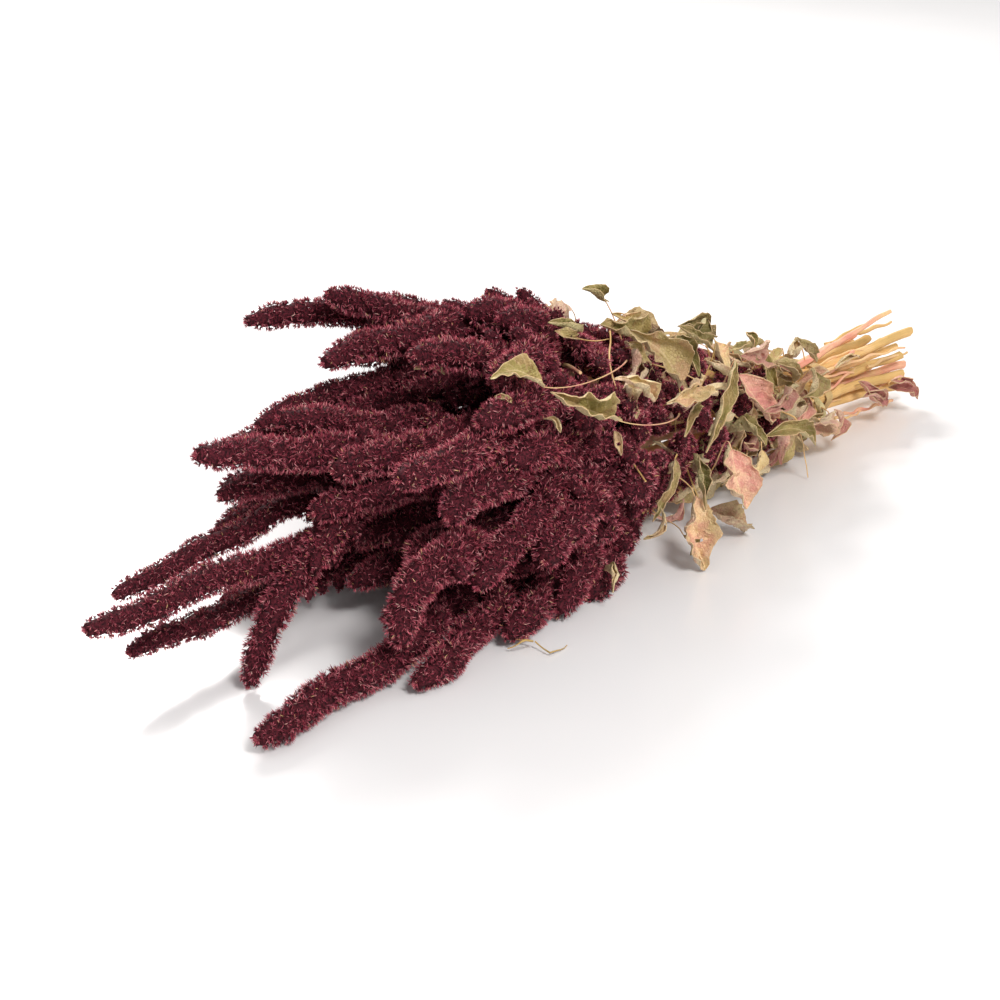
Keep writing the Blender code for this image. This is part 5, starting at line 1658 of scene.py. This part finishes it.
def leaf_finish():
    """Dry leaf: tone from olive through straw to rose, pale veins, blotches, browned edges and painted
    shade in its crinkles.
    """
    look = Finish("dry leaf", 0.7)
    s, t, mark_tone, seed = look.marks()
    across = look.maths("ABSOLUTE", t)
    under = look.maths("GREATER_THAN", mark_tone, UNDERSIDE - 0.6)
    tone = look.times_plus(under, -UNDERSIDE, mark_tone)
    cloud = look.noise(60.0, 5.0, 0.65)
    toned = look.maths("ADD", tone, look.times_plus(cloud, 0.7, -0.35))
    upper = look.ramp(toned, [
        (0.0, (112, 108, 56)), (0.15, (148, 134, 78)), (0.35, (196, 176, 118)), (0.55, (224, 198, 150)),
        (0.75, (226, 178, 154)), (1.0, (200, 124, 122))])
    lower = look.ramp(toned, [
        (0.0, (184, 176, 124)), (0.3, (224, 206, 160)), (0.6, (242, 220, 182)), (0.8, (242, 202, 180)),
        (1.0, (230, 168, 158))])
    body = look.mix(under, upper, lower)
    mottle = look.maths("MAXIMUM", look.times_plus(look.noise(90.0, 5.0, 0.65), 7.0, -3.6), 0.0)
    mottle = look.maths("MINIMUM", mottle, look.times(tone, 0.7))
    body = look.mix(mottle, body, (196, 118, 116))
    slant = look.times_plus(across, -VEIN_SWEEP, look.times(s, VEINS))
    slant = look.times_plus(cloud, 0.35, slant)
    wave = look.maths("COSINE", look.times(slant, 2 * math.pi))
    vein = look.times(look.maths("POWER", look.maths("MAXIMUM", wave, 0.0), 8.0), 0.24)
    rib = look.times(look.maths("LESS_THAN", across, 0.05), 0.45)
    body = look.mix(look.maths("MAXIMUM", vein, rib), body, (232, 206, 164))
    # Painted shade in the crinkles: the edges of the crinkle cells, which the bump sinks, are darkened
    # towards brown.
    net = look.add(
        "ShaderNodeTexVoronoi", {"Vector": look.place, "Scale": 620.0}, feature="DISTANCE_TO_EDGE")
    net = net.outputs["Distance"]
    mesh = look.maths("LESS_THAN", net, 0.09)
    body = look.mix(look.times(mesh, 0.12), body, (120, 84, 52))
    spots = look.maths("GREATER_THAN", look.noise(260.0), 0.64)
    body = look.mix(look.times(spots, 0.4), body, (116, 74, 48))
    edge = look.maths("POWER", across, 9.0)
    body = look.mix(look.times(edge, 0.35), body, (230, 200, 146))
    quilt = look.maths("MINIMUM", look.times(net, 1.2), 0.3)
    crinkle = look.maths("ADD", look.noise(340.0, 4.0, 0.6), quilt)
    return look.done(look.shade(body, look.times_plus(seed, 0.4, 0.74)), crinkle, 0.9, 0.9 * MM)


def stem_finish():
    """Dry stem: straw to pink, with fine fibres along it."""
    look = Finish("dry stem", 0.6)
    fibre, seed = look.fibres(12.0, 9.0)
    hue = look.times_plus(look.noise(40.0), 1.1, look.times_plus(seed, 0.55, -0.35))
    body = look.ramp(hue, [
        (0.0, (190, 160, 96)), (0.2, (220, 180, 112)), (0.45, (240, 196, 128)), (0.62, (248, 206, 150)),
        (0.78, (246, 184, 150)), (0.95, (232, 140, 124))])
    return look.done(look.shade(body, look.times_plus(fibre, 0.7, 0.55)), fibre, 0.6, 0.4 * MM)


def pith_finish():
    """Cut end of a stem: a pale woody ring round soft pith."""
    look = Finish("stem pith", 0.9, 0.2)
    body = look.ramp(look.marks()[0], [
        (0.0, (222, 200, 158)), (0.6, (204, 172, 124)), (0.75, (236, 206, 160)), (1.0, (196, 150, 104))])
    return look.done(body, look.noise(1500.0), 0.7, 0.3 * MM)


def raffia_finish():
    look = Finish("raffia", 0.65)
    fibre, _ = look.fibres(20.0, 11.0)
    body = look.ramp(fibre, [(0.25, (160, 128, 82)), (0.55, (206, 176, 122)), (0.8, (228, 206, 158))])
    return look.done(body, fibre, 0.6, 0.3 * MM)


def floor_finish():
    look = Finish("pale floor", 0.22, 0.35)
    return look.done(look.ramp(look.noise(3.0), [(0.3, (240, 238, 238)), (0.7, (246, 244, 244))]))


# Camera, floor and light

def add_looking(data, azimuth, elevation, distance, target=(0, 0, 0)):
    """An object that looks at the target. Azimuth 0 is on the -Y side and 90 on the +X side."""
    azimuth, elevation = math.radians(azimuth), math.radians(elevation)
    flat = math.cos(elevation)
    back = Vector((math.sin(azimuth) * flat, -math.cos(azimuth) * flat, math.sin(elevation)))
    made = bpy.data.objects.new(data.name, data)
    made.location = Vector(target) + back * distance
    made.rotation_mode = "QUATERNION"
    made.rotation_quaternion = (-back).to_track_quat("-Z", "Y")
    bpy.context.scene.collection.objects.link(made)
    return made


def add_camera(shift):
    data = bpy.data.cameras.new("camera")
    data.lens = CAMERA_LENS
    data.sensor_width = 36
    view = CAMERA_AZIMUTH, CAMERA_ELEVATION, CAMERA_DISTANCE
    bpy.context.scene.camera = add_looking(data, *view, CAMERA_TARGET + shift)


def add_light(name, azimuth, elevation, distance, size, power, colour):
    data = bpy.data.lights.new(name, "AREA")
    data.shape = "DISK"
    data.size = size
    data.energy = power
    data.color = colour
    add_looking(data, azimuth, elevation, distance)


def add_stage():
    """A wide pale floor and an even pale surround."""
    bpy.ops.mesh.primitive_plane_add(size=FLOOR_SIZE, location=(0, 0, FLOOR_HEIGHT))
    floor = bpy.context.object
    floor.name = "floor"
    floor.data.materials.append(floor_finish())
    world = bpy.data.worlds.new("studio")
    world.use_nodes = True
    colour, strength = world.node_tree.nodes["Background"].inputs[:2]
    colour.default_value = (1, 1, 1, 1)
    strength.default_value = WORLD_STRENGTH
    bpy.context.scene.world = world
    bpy.context.scene.view_settings.view_transform = "Standard"


# Pieces

def add_florets(name, spikes, crowding, shift, finishes):
    gathering = Gathering()
    for number, spike in enumerate(spikes):
        if spike.head == name:
            add_spike(gathering, number, spike, crowding)
    made = gathering.piece(f"florets_{name}", shift, finishes)
    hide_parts(f"head_{name}")


def all_twigs(foliage):
    """Loose twigs and dry stalks by name: the stem they go with, centre line, radius and tone."""
    made = {}
    for name, (points, radius, tone) in TWIGS.items():
        line = mm(points)
        owner = foliage.outer_stems(line[0], line[0, 0])[0]
        made[name] = owner, line, radius * MM, tone
    for number in range(STUBS):
        owner, line, radius = stub(number, foliage)
        made[f"stub_{number}"] = owner, line, radius, random.Random(f"stub tone {number}").random()
    return made


def add_leafy_stem(name, stem, leaves, twigs, shift, finishes):
    gathering = Gathering()
    add_stem(gathering, name, stem, leaves)
    for leaf in leaves:
        add_leaf(gathering, leaf)
    for twig_name, (owner, line, radius, tone) in twigs.items():
        if owner == name:
            add_twig(gathering, line, radius, tone, twig_name)
    made = gathering.piece(f"leafy_{name}", shift, finishes)
    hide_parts(f"stem_{name}")


def add_raffia(shift):
    gathering = Gathering()
    add_tie(gathering)
    made = gathering.piece("raffia_tie", shift, [raffia_finish()])
    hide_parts("tie")


def main():
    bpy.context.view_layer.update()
    shift = frame_shift()
    add_camera(shift)
    add_stage()
    for light in LIGHTS:
        add_light(*light)
    stems, settled, foliage = plan_bunch()
    spikes = all_spikes(settled, foliage)
    crowding = Crowding(spikes)
    twigs = all_twigs(foliage)
    floret_finishes = [floret_finish(), core_finish()]
    stem_finishes = [stem_finish(), leaf_finish(), pith_finish()]
    for name in NAMES:
        add_florets(name, spikes, crowding, shift, floret_finishes)
        leaves = [leaf for leaf in foliage.placed if leaf.stem == name]
        add_leafy_stem(name, stems[name], leaves, twigs, shift, stem_finishes)
    add_raffia(shift)


main()
